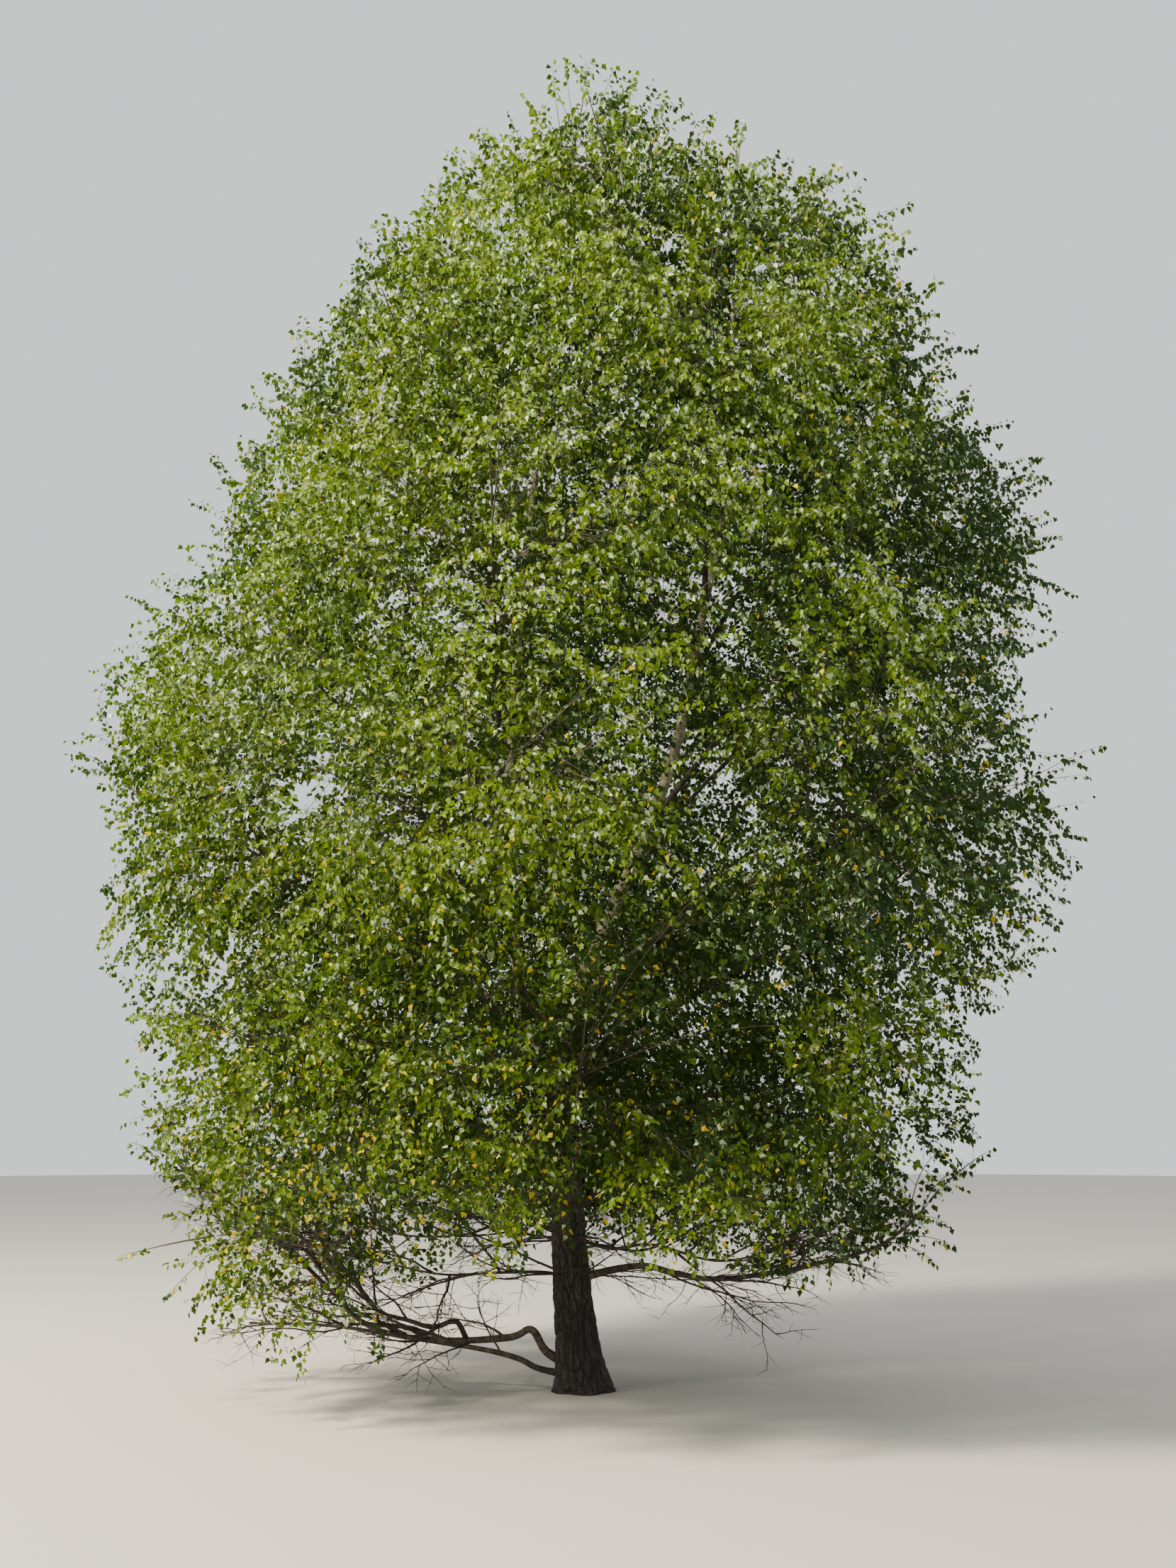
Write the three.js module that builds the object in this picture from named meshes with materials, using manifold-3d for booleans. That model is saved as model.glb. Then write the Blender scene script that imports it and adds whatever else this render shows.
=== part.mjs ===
// A silver birch of about ten metres in early autumn leaf, standing alone.
// Millimetres, +Z up. The origin is the middle of the flat cut at the foot of the trunk,
// the front of the tree is towards -Y, and the ground is the plane z = 0.
import * as THREE from 'three';
import { mergeVertices } from 'three/addons/utils/BufferGeometryUtils.js';
import Module from 'manifold-3d';

const wasm = await Module();
wasm.setup();

// Where one piece meets the next they stay this far apart.
const SEAT = 0.3;
// Twigs and leaves keep this far from every other limb, and from the walls of their own space.
const CLEARANCE = 8;
const TURN = 2 * Math.PI;

// The crown's outline: the furthest leaf to the left and to the right, by height.
const CROWN = [
  { z: 400, left: 2750, right: 2100 },
  { z: 1000, left: 2900, right: 2550 },
  { z: 1650, left: 3200, right: 2750 },
  { z: 2400, left: 3150, right: 2800 },
  { z: 3000, left: 3450, right: 3350 },
  { z: 3700, left: 3400, right: 3600 },
  { z: 4400, left: 3750, right: 3780 },
  { z: 4950, left: 3450, right: 3150 },
  { z: 5400, left: 3350, right: 3400 },
  { z: 6100, left: 2720, right: 3650 },
  { z: 6700, left: 2650, right: 3200 },
  { z: 7400, left: 2200, right: 2900 },
  { z: 8100, left: 1750, right: 2520 },
  { z: 8700, left: 1350, right: 2450 },
  { z: 9200, left: 950, right: 1750 },
  { z: 9600, left: 600, right: 1000 },
  { z: 10050, left: 260, right: 200 },
];
const CROWN_TOP = CROWN[CROWN.length - 1].z;
const CROWN_MIDDLE = 4500;
// The furthest tips, left, right and top: across and height.
const FURTHEST_TIPS = [[-3740, 4400], [3770, 4400], [-150, 10030]];
// No leaf of the crown hangs lower than this. The low boughs have floors of their own.
const SKIRT_FLOOR = 1000;

// The trunk leans a little to the left and forks into two leaders above head height.
const FORK_HEIGHT = 2300;
const TRUNK = {
  points: [[0, 0, 0], [-60, 0, 500], [-95, 0, 1000], [-120, 5, 1650], [-122, 10, FORK_HEIGHT]],
  foot: 150,
  tip: 74,
  flare: 55,
  flareHeight: 170,
  buttresses: 5,
  buttressDepth: 0.35,
  buttressTurn: 0.6,
  sides: 15,
  steps: 12,
  crowding: 1.5,
};
const LEADERS = {
  right: {
    points: [[-120, 10, 2150], [-60, 0, 2560], [390, -90, 3590], [640, -130, 4270],
      [800, -110, 5000], [1050, -60, 6290], [1120, 0, 7200], [1150, 20, 7950]],
    foot: 58,
    tip: 13,
    sides: 10,
    steps: 14,
  },
  left: {
    points: [[-115, 10, 1780], [-350, 60, 2250], [-500, 110, 3030], [-600, 140, 3400],
      [-550, 150, 3900], [-480, 120, 5200], [-330, 60, 6800], [-170, 0, 8450]],
    foot: 48,
    tip: 12,
    sides: 10,
    steps: 14,
  },
};
// Above the fork a bough leaves from the left leader if its mass lies to the left of this.
const LEADER_DIVIDE = 100;
// A bough that heads left, by the cosine of its angle, already leaves from it above this height.
const HEADS_LEFT = -0.4;
const LEFT_LEADER_CLEAR = 2130;
// The girth of a limb falls with this power of the way along it.
const LIMB_TAPER = 0.85;

// Rings of masses round the crown. Each mass hangs on one bough, which leaves the trunk or a leader
// `rise` below it, `spread` above the last. `inward` is where the mass lies between axis and outline,
// and `twigs` is how many branch from its stem.
const TIERS = [
  {
    name: 'skirt', count: 6, turn: 30, height: 2100, inward: 0.68,
    rise: 750, spread: 90, foot: 29, twigs: 8,
  },
  {
    name: 'lower', count: 6, turn: 15, height: 3600, inward: 0.7,
    rise: 1400, spread: 120, foot: 30, twigs: 7,
  },
  {
    name: 'middle', count: 5, turn: 40, height: 5200, inward: 0.66,
    rise: 1750, spread: 130, foot: 27, twigs: 8,
  },
  {
    name: 'upper', count: 5, turn: 9, height: 6800, inward: 0.62,
    rise: 1700, spread: 150, foot: 23, twigs: 7,
  },
  {
    name: 'high', count: 3, turn: 40, height: 8150, inward: 0.6,
    rise: 1450, spread: 160, foot: 19, twigs: 7,
  },
];
// The masses at the tips of the leaders.
const TOPS = [
  { name: 'top_left', centre: [-60, 0, 9250], leader: 'left', twigs: 6 },
  { name: 'top_right', centre: [1180, 0, 8700], leader: 'right', twigs: 6 },
];
const BOUGH = { tip: 12, share: 0.66, arch: 0.1, sides: 7, steps: 4 };

// The long low boughs: nearly level, a little crooked, and thinly leaved at their ends.
const LOW_BOUGHS = [
  {
    name: 'low_left',
    points: [[-60, 0, 150], [-240, -30, 250], [-340, -60, 390], [-490, -100, 345], [-960, -220, 345],
      [-1370, -330, 440], [-1640, -400, 690], [-1850, -450, 890]],
    foot: 28,
    centre: [-2280, -560, 1000],
    floor: 380,
    twigs: 6,
  },
  {
    name: 'low_right',
    points: [[-75, 0, 690], [130, -20, 750], [400, -70, 795], [620, -120, 750], [900, -170, 720],
      [1320, -260, 780], [1740, -350, 880]],
    foot: 26,
    centre: [2180, -440, 1180],
    floor: 850,
    twigs: 5,
  },
];
const LOW_STEPS = 14;
// A bare one that lies just above the ground.
const GROUND_BOUGH = {
  points: [[-50, 20, 90], [-290, 60, 130], [-430, 90, 190], [-660, 140, 240], [-1070, 220, 290],
    [-1720, 330, 370], [-2300, 420, 380]],
  foot: 22,
  tip: 8,
};

// One blade stands for a spray of leaves: a kite with a raised rib, and shares of its own length.
const BLADE = { length: 640, width: 0.84, widest: 0.42, rib: 0.03 };
const BLADE_LENGTHS = [1.25, 1.1, 0.95, 0.8, 0.65];
// Blades on the sides of a twig: the places along it and the lifts that are tried, how far each
// leans onward and outward, and the most that its face is turned about its own length.
const SIDE_BLADES = {
  count: 2,
  places: [0.4, 0.55, 0.7, 0.85],
  lifts: [0, -0.6, 0.6],
  onward: 0.5,
  outward: 0.2,
  tilt: 0.9,
};

// A mass: the stem runs on past its middle, and its twigs end at tips that are spread over its own
// patch of the crown's outline.
const STEM = { foot: 0.95, tip: 8, onward: 0.15, places: [0, 0.01, 0.4, 0.75, 1] };
const TWIG = { foot: 0.5, taper: 0.7, bend: 0.1, outward: 0.4 };
// Where the twigs leave the stem, as shares of its length, and the shifts tried where one is taken.
const TWIG_PLACES = { first: 0.15, last: 0.95, least: 0.1, most: 0.96 };
const TWIG_SHIFTS = [0, 0.06, -0.06, 0.12, -0.12, 0.2];
const PATCH = { girth: 4000, height: 3000, least: 900, depth: 300, places: 500, apart: 520 };
// The chances of each mass, each of its twigs and each place tried start this far on from the last.
const SEED_STEP = 1009;
const TWIG_STEP = 7;
const DRAW_STEP = 31;

// The way out of the crown counts height for this much, against 1 for breadth.
const OUTWARD_RISE = 0.45;
// Sprays hang at the foot of the crown and rise at its top.
const LIFT = { low: 1500, high: 9000, most: 0.3 };

const vec = (x, y, z) => new THREE.Vector3(x, y, z);
const UP = vec(0, 0, 1);
const moved = (point, direction, distance) => point.clone().addScaledVector(direction, distance);
const towards = (from, to) => to.clone().sub(from).normalize();

// Repeatable chance between 0 and 1 for a whole number.
function chance(n) {
  const wave = Math.sin(n * 12.9898) * 43758.5453;
  return wave - Math.floor(wave);
}

// The n-th point of a sequence that fills a cube of side 1 evenly.
const EVEN_STEPS = [0.8191725134, 0.6710436067, 0.5497004779];
const evenPoint = (n) => vec(...EVEN_STEPS.map((step) => (0.5 + n * step) % 1));

// How far the crown reaches from its axis at a height, in a direction seen from above.
function reachAt(z, angle) {
  const above = CROWN.findIndex((edge) => edge.z >= z);
  const row = Math.max(above < 0 ? CROWN.length - 1 : above, 1);
  const low = CROWN[row - 1];
  const high = CROWN[row];
  const share = THREE.MathUtils.clamp((z - low.z) / (high.z - low.z), 0, 1);
  const left = THREE.MathUtils.lerp(low.left, high.left, share);
  const right = THREE.MathUtils.lerp(low.right, high.right, share);
  const side = Math.cos(angle) > 0 ? right : left;
  return 1 / Math.hypot(Math.cos(angle) / side, Math.sin(angle) / ((left + right) / 2));
}

// The way out of the crown at a point.
function outwardFrom(point) {
  return vec(point.x, point.y, (point.z - CROWN_MIDDLE) * OUTWARD_RISE).normalize();
}

// How steeply a spray rises, by its height.
const liftAt = (z) => THREE.MathUtils.mapLinear(z, LIFT.low, LIFT.high, -LIFT.most, LIFT.most);

// A closed solid from its points and triangles.
function solidFrom(points, triangles) {
  const geometry = new THREE.BufferGeometry();
  const numbers = points.flatMap((point) => point.toArray());
  geometry.setAttribute('position', new THREE.Float32BufferAttribute(numbers, 3));
  geometry.setIndex(triangles.flat());
  const merged = mergeVertices(geometry, 1e-3);
  return new wasm.Manifold(new wasm.Mesh({
    numProp: 3,
    vertProperties: merged.attributes.position.array,
    triVerts: new Uint32Array(merged.index.array),
  }));
}

// A closed skin over rings of points, each ring with the same number of them.
// It ends flat, or in a point where one is given.
function skin(rings, apex) {
  const sides = rings[0].length;
  const last = (rings.length - 1) * sides;
  const triangles = [];
  for (let at = 0; at < last; at += sides) {
    for (let side = 0; side < sides; side++) {
      const here = at + side;
      const next = at + (side + 1) % sides;
      triangles.push([here, next, next + sides], [here, next + sides, here + sides]);
    }
  }
  for (let side = 1; side + 1 < sides; side++) {
    triangles.push([0, side + 1, side]);
    if (!apex) triangles.push([last, last + side, last + side + 1]);
  }
  for (let side = 0; apex && side < sides; side++) {
    triangles.push([last + side, last + (side + 1) % sides, last + sides]);
  }
  return solidFrom(apex ? [...rings.flat(), apex] : rings.flat(), triangles);
}

// A smooth curve through some points.
function throughPoints(points) {
  return new THREE.CatmullRomCurve3(points.map((p) => vec(...p)), false, 'catmullrom', 0.5);
}

// A tapering limb along its curve. `grown` makes it that much fatter and longer.
function limbSolid({ curve, foot, tip, sides, steps }, grown = 0) {
  const frames = curve.computeFrenetFrames(steps);
  const rings = [];
  for (let step = 0; step <= steps; step++) {
    const share = step / steps;
    const middle = curve.getPointAt(share);
    if (step === 0) middle.addScaledVector(frames.tangents[0], -grown);
    if (step === steps) middle.addScaledVector(frames.tangents[steps], grown);
    const radius = foot + (tip - foot) * share ** LIMB_TAPER + grown;
    rings.push(Array.from({ length: sides }, (_, side) => {
      const angle = side / sides * TURN;
      const across = moved(middle, frames.normals[step], radius * Math.cos(angle));
      return across.addScaledVector(frames.binormals[step], radius * Math.sin(angle));
    }));
  }
  return skin(rings);
}

// The trunk: level rings from the flat cut at the ground, with a root flare in shallow buttresses.
function trunkSolid(grown = 0) {
  const curve = throughPoints(TRUNK.points);
  const rings = [];
  for (let step = 0; step <= TRUNK.steps; step++) {
    const share = (step / TRUNK.steps) ** TRUNK.crowding;
    const middle = curve.getPointAt(share);
    const spread = TRUNK.flare * Math.exp(-middle.z / TRUNK.flareHeight);
    if (step === TRUNK.steps) middle.z += grown;
    rings.push(Array.from({ length: TRUNK.sides }, (_, side) => {
      const angle = side / TRUNK.sides * TURN;
      const wave = Math.cos(TRUNK.buttresses * angle + TRUNK.buttressTurn);
      const lobe = 1 + TRUNK.buttressDepth * wave;
      const radius = THREE.MathUtils.lerp(TRUNK.foot, TRUNK.tip, share) + spread * lobe + grown;
      return middle.clone().add(vec(radius * Math.cos(angle), radius * Math.sin(angle), 0));
    }));
  }
  return skin(rings);
}

// The point of a rising curve at a height, found by halving.
const HALVINGS = 30;
function pointAtHeight(curve, height) {
  let low = 0;
  let high = 1;
  for (let halving = 0; halving < HALVINGS; halving++) {
    const middle = (low + high) / 2;
    if (curve.getPoint(middle).z < height) low = middle;
    else high = middle;
  }
  return curve.getPoint(low);
}

const trunkCurve = throughPoints(TRUNK.points);
const leaderLimbs = {
  right: { ...LEADERS.right, curve: throughPoints(LEADERS.right.points) },
  left: { ...LEADERS.left, curve: throughPoints(LEADERS.left.points) },
};

// A bough arches up from its carrier and ends where it enters its mass.
function boughLimb(carrier, leaves, centre, foot) {
  const from = pointAtHeight(carrier, leaves);
  const to = from.clone().lerp(centre, BOUGH.share);
  const bend = moved(from.clone().lerp(to, 0.5), UP, BOUGH.arch * from.distanceTo(to));
  const curve = new THREE.QuadraticBezierCurve3(from, bend, to);
  return { curve, foot, tip: BOUGH.tip, sides: BOUGH.sides, steps: BOUGH.steps };
}

// The masses of one tier, each with its middle and its own bough.
function tierMasses(tier) {
  return Array.from({ length: tier.count }, (_, k) => {
    const angle = (tier.turn / 360 + k / tier.count) * TURN;
    const reach = reachAt(tier.height, angle) * tier.inward;
    const centre = vec(reach * Math.cos(angle), reach * Math.sin(angle), tier.height);
    const leaves = tier.height - tier.rise + tier.spread * (k - (tier.count - 1) / 2);
    let carrier = trunkCurve;
    if (leaves > FORK_HEIGHT) carrier = leaderLimbs[centre.x < LEADER_DIVIDE ? 'left' : 'right'].curve;
    const headsLeft = Math.cos(angle) < HEADS_LEFT;
    if (headsLeft && leaves > LEFT_LEADER_CLEAR) carrier = leaderLimbs.left.curve;
    const limb = boughLimb(carrier, leaves, centre, tier.foot);
    return { name: `${tier.name}_${k + 1}`, centre, limb, floor: SKIRT_FLOOR, twigs: tier.twigs };
  });
}

// The mass at the end of a low bough.
function lowMass({ name, points, foot, centre, floor, twigs }) {
  const curve = throughPoints(points);
  const limb = { curve, foot, tip: BOUGH.tip, sides: BOUGH.sides, steps: LOW_STEPS };
  return { name, centre: vec(...centre), limb, floor, twigs };
}

// The mass at the tip of a leader.
function topMass({ name, centre, leader, twigs }) {
  return { name, centre: vec(...centre), limb: leaderLimbs[leader], floor: SKIRT_FLOOR, twigs };
}

const boughMasses = [...TIERS.flatMap(tierMasses), ...LOW_BOUGHS.map(lowMass)];
const masses = [...boughMasses, ...TOPS.map(topMass)];

// How far a point lies inside a mass's own space: from the crown's outline and top, from its floor,
// and from the planes half-way to the middle of every other mass.
function roomAt(point, mass) {
  const reach = reachAt(point.z, Math.atan2(point.y, point.x));
  const inside = reach - Math.hypot(point.x, point.y);
  let room = Math.min(inside, point.z - mass.floor, CROWN_TOP - point.z);
  const own = point.distanceToSquared(mass.centre);
  for (const other of masses) {
    if (other === mass) continue;
    const apart = 2 * other.centre.distanceTo(mass.centre);
    room = Math.min(room, (point.distanceToSquared(other.centre) - own) / apart);
  }
  return room;
}

// A frame whose face looks as nearly as it can towards `facing`, square to `along`.
function frameFor(along, facing) {
  const face = facing.clone().addScaledVector(along, -facing.dot(along)).normalize();
  return { along, face, across: face.clone().cross(along) };
}

// Three corners round a middle: left, top and right.
function corners(middle, { across, face }, half, top, bottom) {
  return [
    moved(middle, across, half).addScaledVector(face, -bottom),
    moved(middle, face, top),
    moved(middle, across, -half).addScaledVector(face, -bottom),
  ];
}

// A three-sided twig along straight stretches, which widens into a blade at its end.
function twigSolid(path, foot, tip, frame, length) {
  const rings = path.slice(0, -1).map((middle, k) => {
    const along = towards(path[Math.max(k - 1, 0)], path[k + 1]);
    const radius = THREE.MathUtils.lerp(foot, tip, k / (path.length - 2));
    const half = radius * Math.cos(Math.PI / 6);
    return corners(middle, frameFor(along, frame.face), half, radius, radius / 2);
  });
  const root = path[path.length - 1];
  const shoulder = moved(root, frame.along, length * BLADE.widest);
  rings.push(corners(shoulder, frame, length * BLADE.width / 2, length * BLADE.rib, 0));
  return skin(rings, moved(root, frame.along, length));
}

// The two corners and the tip of a blade's outline.
function bladeOutline(root, { along, across }, length) {
  const shoulder = moved(root, along, length * BLADE.widest);
  const half = length * BLADE.width / 2;
  return [moved(shoulder, across, half), moved(shoulder, across, -half), moved(root, along, length)];
}

// A blade on the side of a twig. Its corners drop below its rib, which runs from root to tip.
function sideBladeSolid(root, frame, length) {
  const [left, right, tip] = bladeOutline(root, frame, length);
  left.addScaledVector(frame.face, -length * BLADE.rib);
  right.addScaledVector(frame.face, -length * BLADE.rib);
  return solidFrom([root, left, right, tip], [[0, 3, 1], [0, 2, 3], [0, 1, 2], [1, 3, 2]]);
}

// The point, and the heading there, at a share of the length of a path of straight stretches.
function placeOn(path, share) {
  const lengths = path.slice(1).map((p, k) => p.distanceTo(path[k]));
  let left = share * lengths.reduce((sum, length) => sum + length);
  let k = 0;
  while (k < lengths.length - 1 && left > lengths[k]) {
    left -= lengths[k];
    k += 1;
  }
  const heading = towards(path[k], path[k + 1]);
  return { point: moved(path[k], heading, left), heading };
}

// How far a place is from the nearest of some others.
const apartFrom = (place, others) => Math.min(...others.map((other) => other.distanceTo(place)));
const meets = (solid, other) => !solid.intersect(other).isEmpty();

// The tips and the blade middles of all masses so far, and every limb with its clearance.
const allTips = [];
const bladeMiddles = [];
const guardedLimbs = [];

// The blade tips of a mass's twigs: each next one is the free place furthest from all tips so far.
// The crown's furthest tips come first.
function outlineTips(mass, seed) {
  const facing = Math.atan2(mass.centre.y, mass.centre.x);
  const girth = Math.max(Math.hypot(mass.centre.x, mass.centre.y), PATCH.least);
  const places = [];
  for (let n = 0; n < PATCH.places; n++) {
    const { x: round, y: rise, z: deep } = evenPoint(seed + n);
    const angle = facing + (round - 0.5) * Math.min(TURN, PATCH.girth / girth);
    const z = mass.centre.z + (rise - 0.5) * PATCH.height;
    const radius = reachAt(z, angle) - 1.5 * CLEARANCE - PATCH.depth * deep ** 3;
    const place = vec(radius * Math.cos(angle), radius * Math.sin(angle), z);
    if (roomAt(place, mass) > CLEARANCE + 2) places.push(place);
  }
  const tips = FURTHEST_TIPS.map(([x, z]) => vec(x, 0, z)).filter((tip) => roomAt(tip, mass) > 0);
  while (tips.length < mass.twigs && places.length) {
    const free = places.map((place) => apartFrom(place, [...allTips, ...tips]));
    const best = free.indexOf(Math.max(...free));
    if (free[best] < PATCH.apart) break;
    tips.push(...places.splice(best, 1));
  }
  allTips.push(...tips);
  return tips;
}

// Grows one mass: a stem from the tip of its limb, twigs that branch from the stem, and blades.
class Mass {
  constructor(mass, seed) {
    this.mass = mass;
    this.seed = seed;
    this.solids = [];
  }

  // Adds the longest blade, or twig with its blade, that stays in the mass's space, clear of every
  // other limb, and meets only the piece that it grows from.
  add(frame, rootFor, make, ownLimb) {
    for (const share of BLADE_LENGTHS) {
      const length = BLADE.length * share;
      const root = rootFor(length);
      const outline = bladeOutline(root, frame, length);
      if (outline.some((point) => roomAt(point, this.mass) < CLEARANCE)) continue;
      const solid = make(length, root);
      const others = guardedLimbs.filter(({ limb }) => limb !== ownLimb || !limb);
      if (others.some(({ guard }) => meets(solid, guard))) continue;
      if (this.solids.filter((other) => meets(solid, other)).length > 1) continue;
      this.solids.push(solid);
      bladeMiddles.push(moved(root, frame.along, length / 2));
      return true;
    }
    return false;
  }

  growStem() {
    const { limb, centre, name } = this.mass;
    const tip = limb.curve.getPointAt(1);
    const heading = limb.curve.getTangentAt(1);
    const from = moved(tip, heading, SEAT);
    const to = centre.clone().add(centre.clone().sub(tip).multiplyScalar(STEM.onward));
    const curve = new THREE.QuadraticBezierCurve3(from, moved(from, heading, from.distanceTo(to) / 2), to);
    this.stem = STEM.places.map((share) => curve.getPoint(share));
    this.stemFoot = limb.tip * STEM.foot;
    const frame = frameFor(towards(this.stem[3], to), outwardFrom(to));
    const make = (length) => twigSolid(this.stem, this.stemFoot, STEM.tip, frame, length);
    if (!this.add(frame, () => to, make, limb)) throw new Error(`${name} has no room for its stem`);
  }

  // A twig from the stem to a blade whose tip is given.
  growTwig(tip, share) {
    const { point: start, heading: onward } = placeOn(this.stem, share);
    const outward = outwardFrom(tip);
    const aim = towards(start, tip).addScaledVector(outward, TWIG.outward)
      .addScaledVector(UP, liftAt(tip.z)).normalize();
    const frame = frameFor(aim, outward);
    const foot = THREE.MathUtils.lerp(this.stemFoot, STEM.tip, share) * TWIG.foot;
    let path;
    const make = (length, root) => {
      const bend = start.distanceTo(root) * TWIG.bend;
      const elbow = moved(start.clone().lerp(root, 0.5), onward, bend).addScaledVector(UP, bend);
      path = [start, elbow, root];
      return twigSolid(path, foot, foot * TWIG.taper, frame, length);
    };
    return this.add(frame, (length) => moved(tip, aim, -length), make) && path;
  }

  // A blade on the side of a twig, at the place and on the side with the most room.
  growSideBlade(path, number) {
    const options = [];
    for (const share of SIDE_BLADES.places) {
      const { point: root, heading } = placeOn(path, share);
      const outward = outwardFrom(root);
      for (const lift of SIDE_BLADES.lifts) {
        for (const hand of [-1, 1]) {
          const side = outward.clone().cross(heading).normalize().multiplyScalar(hand);
          const aim = side.addScaledVector(heading, SIDE_BLADES.onward)
            .addScaledVector(outward, SIDE_BLADES.outward)
            .addScaledVector(UP, liftAt(root.z) + lift).normalize();
          const draw = chance(this.seed + number + options.length * DRAW_STEP);
          const face = outward.clone().applyAxisAngle(aim, (draw - 0.5) * SIDE_BLADES.tilt);
          const free = apartFrom(moved(root, aim, BLADE.length / 2), bladeMiddles);
          options.push({ root, frame: frameFor(aim, face), free });
        }
      }
    }
    options.sort((a, b) => b.free - a.free);
    for (const { root, frame } of options) {
      const make = (length) => sideBladeSolid(root, frame, length);
      if (this.add(frame, () => root, make)) return;
    }
  }

  // The twigs leave the stem in the order of their tips along it, evenly spaced, or a little
  // before or after where that place is taken.
  growTwigs() {
    const [from] = this.stem;
    const ahead = towards(this.stem[3], this.stem[4]);
    const tips = outlineTips(this.mass, this.seed);
    tips.sort((a, b) => a.clone().sub(from).dot(ahead) - b.clone().sub(from).dot(ahead));
    tips.forEach((tip, k) => {
      const even = THREE.MathUtils.lerp(TWIG_PLACES.first, TWIG_PLACES.last, (k + 0.5) / tips.length);
      let path;
      for (const shift of TWIG_SHIFTS) {
        const share = THREE.MathUtils.clamp(even + shift, TWIG_PLACES.least, TWIG_PLACES.most);
        path = path || this.growTwig(tip, share);
      }
      for (let blade = 0; path && blade < SIDE_BLADES.count; blade++) {
        this.growSideBlade(path, k * TWIG_STEP + blade);
      }
    });
  }

  // All joined into one body. A sealed hollow is filled and a loose scrap is dropped.
  joined() {
    const bodies = this.solids.reduce((whole, next) => whole.add(next)).decompose();
    return bodies.sort((a, b) => b.volume() - a.volume())[0];
  }
}

function meshFrom(solid, name, material) {
  const { vertProperties, triVerts } = solid.getMesh();
  const geometry = new THREE.BufferGeometry();
  geometry.setAttribute('position', new THREE.BufferAttribute(vertProperties, 3));
  geometry.setIndex(new THREE.BufferAttribute(triVerts, 1));
  const mesh = new THREE.Mesh(geometry, material);
  mesh.name = name;
  return mesh;
}

// Leaves on the left and at the front are in the sun, and those behind and to the right in shade.
const SUN_FALL = { across: 6000, back: 9000 };
function leafMaterial(centre) {
  const dimmed = centre.x / SUN_FALL.across + centre.y / SUN_FALL.back;
  const sun = THREE.MathUtils.clamp(0.5 - dimmed, 0, 1);
  const color = new THREE.Color(0x3f5a1c).lerp(new THREE.Color(0x8a9c2c), sun);
  return new THREE.MeshStandardMaterial({ color, roughness: 0.6, metalness: 0 });
}

const darkBark = new THREE.MeshStandardMaterial({ color: 0x4a4038, roughness: 0.9, metalness: 0 });
const paleBark = new THREE.MeshStandardMaterial({ color: 0xa39a8a, roughness: 0.8, metalness: 0 });
const tree = new THREE.Group();

// The trunk and its two leaders, cut back where they meet.
const grownTrunk = trunkSolid(SEAT);
const grownRight = limbSolid(leaderLimbs.right, SEAT);
const grownCarriers = [grownTrunk, grownRight, limbSolid(leaderLimbs.left, SEAT)];
const rightSolid = limbSolid(leaderLimbs.right).subtract(grownTrunk);
const leftSolid = limbSolid(leaderLimbs.left).subtract(grownTrunk).subtract(grownRight);
tree.add(meshFrom(trunkSolid(), 'trunk', darkBark));
tree.add(meshFrom(rightSolid, 'leader_right', paleBark));
tree.add(meshFrom(leftSolid, 'leader_left', paleBark));
guardedLimbs.push({ guard: trunkSolid(CLEARANCE) });
for (const limb of Object.values(leaderLimbs)) {
  guardedLimbs.push({ limb, guard: limbSolid(limb, CLEARANCE) });
}

// A bough is cut back to the face of what carries it, and the part inside is dropped.
function addBough(limb, name) {
  const cut = grownCarriers.reduce((solid, carrier) => solid.subtract(carrier), limbSolid(limb));
  const [outside] = cut.decompose().sort((a, b) => b.volume() - a.volume());
  tree.add(meshFrom(outside, name, darkBark));
  guardedLimbs.push({ limb, guard: limbSolid(limb, CLEARANCE) });
}
for (const mass of boughMasses) addBough(mass.limb, `bough_${mass.name}`);
const groundCurve = throughPoints(GROUND_BOUGH.points);
addBough({ ...GROUND_BOUGH, curve: groundCurve, sides: BOUGH.sides, steps: LOW_STEPS }, 'bough_ground_left');

// The masses of leaves.
masses.forEach((place, k) => {
  const mass = new Mass(place, (k + 1) * SEED_STEP);
  mass.growStem();
  mass.growTwigs();
  tree.add(meshFrom(mass.joined(), `leaves_${place.name}`, leafMaterial(place.centre)));
});

export default tree;
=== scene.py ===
# %% [markdown]
# # A silver birch in early autumn leaf
#
# The frame already holds this tree as plain solids: a trunk, two leaders, their boughs, and masses
# of coarse blades that each keep to a space of their own. This lesson dresses it. The limbs get a
# skin with the relief of real bark. Every mass is grown again by the rule that made it, carried on
# to fine twigs and single leaves, and a few of the leaves have already turned.
# Lengths are in metres, +Z is up, and the front of the tree is towards -Y.

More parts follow.
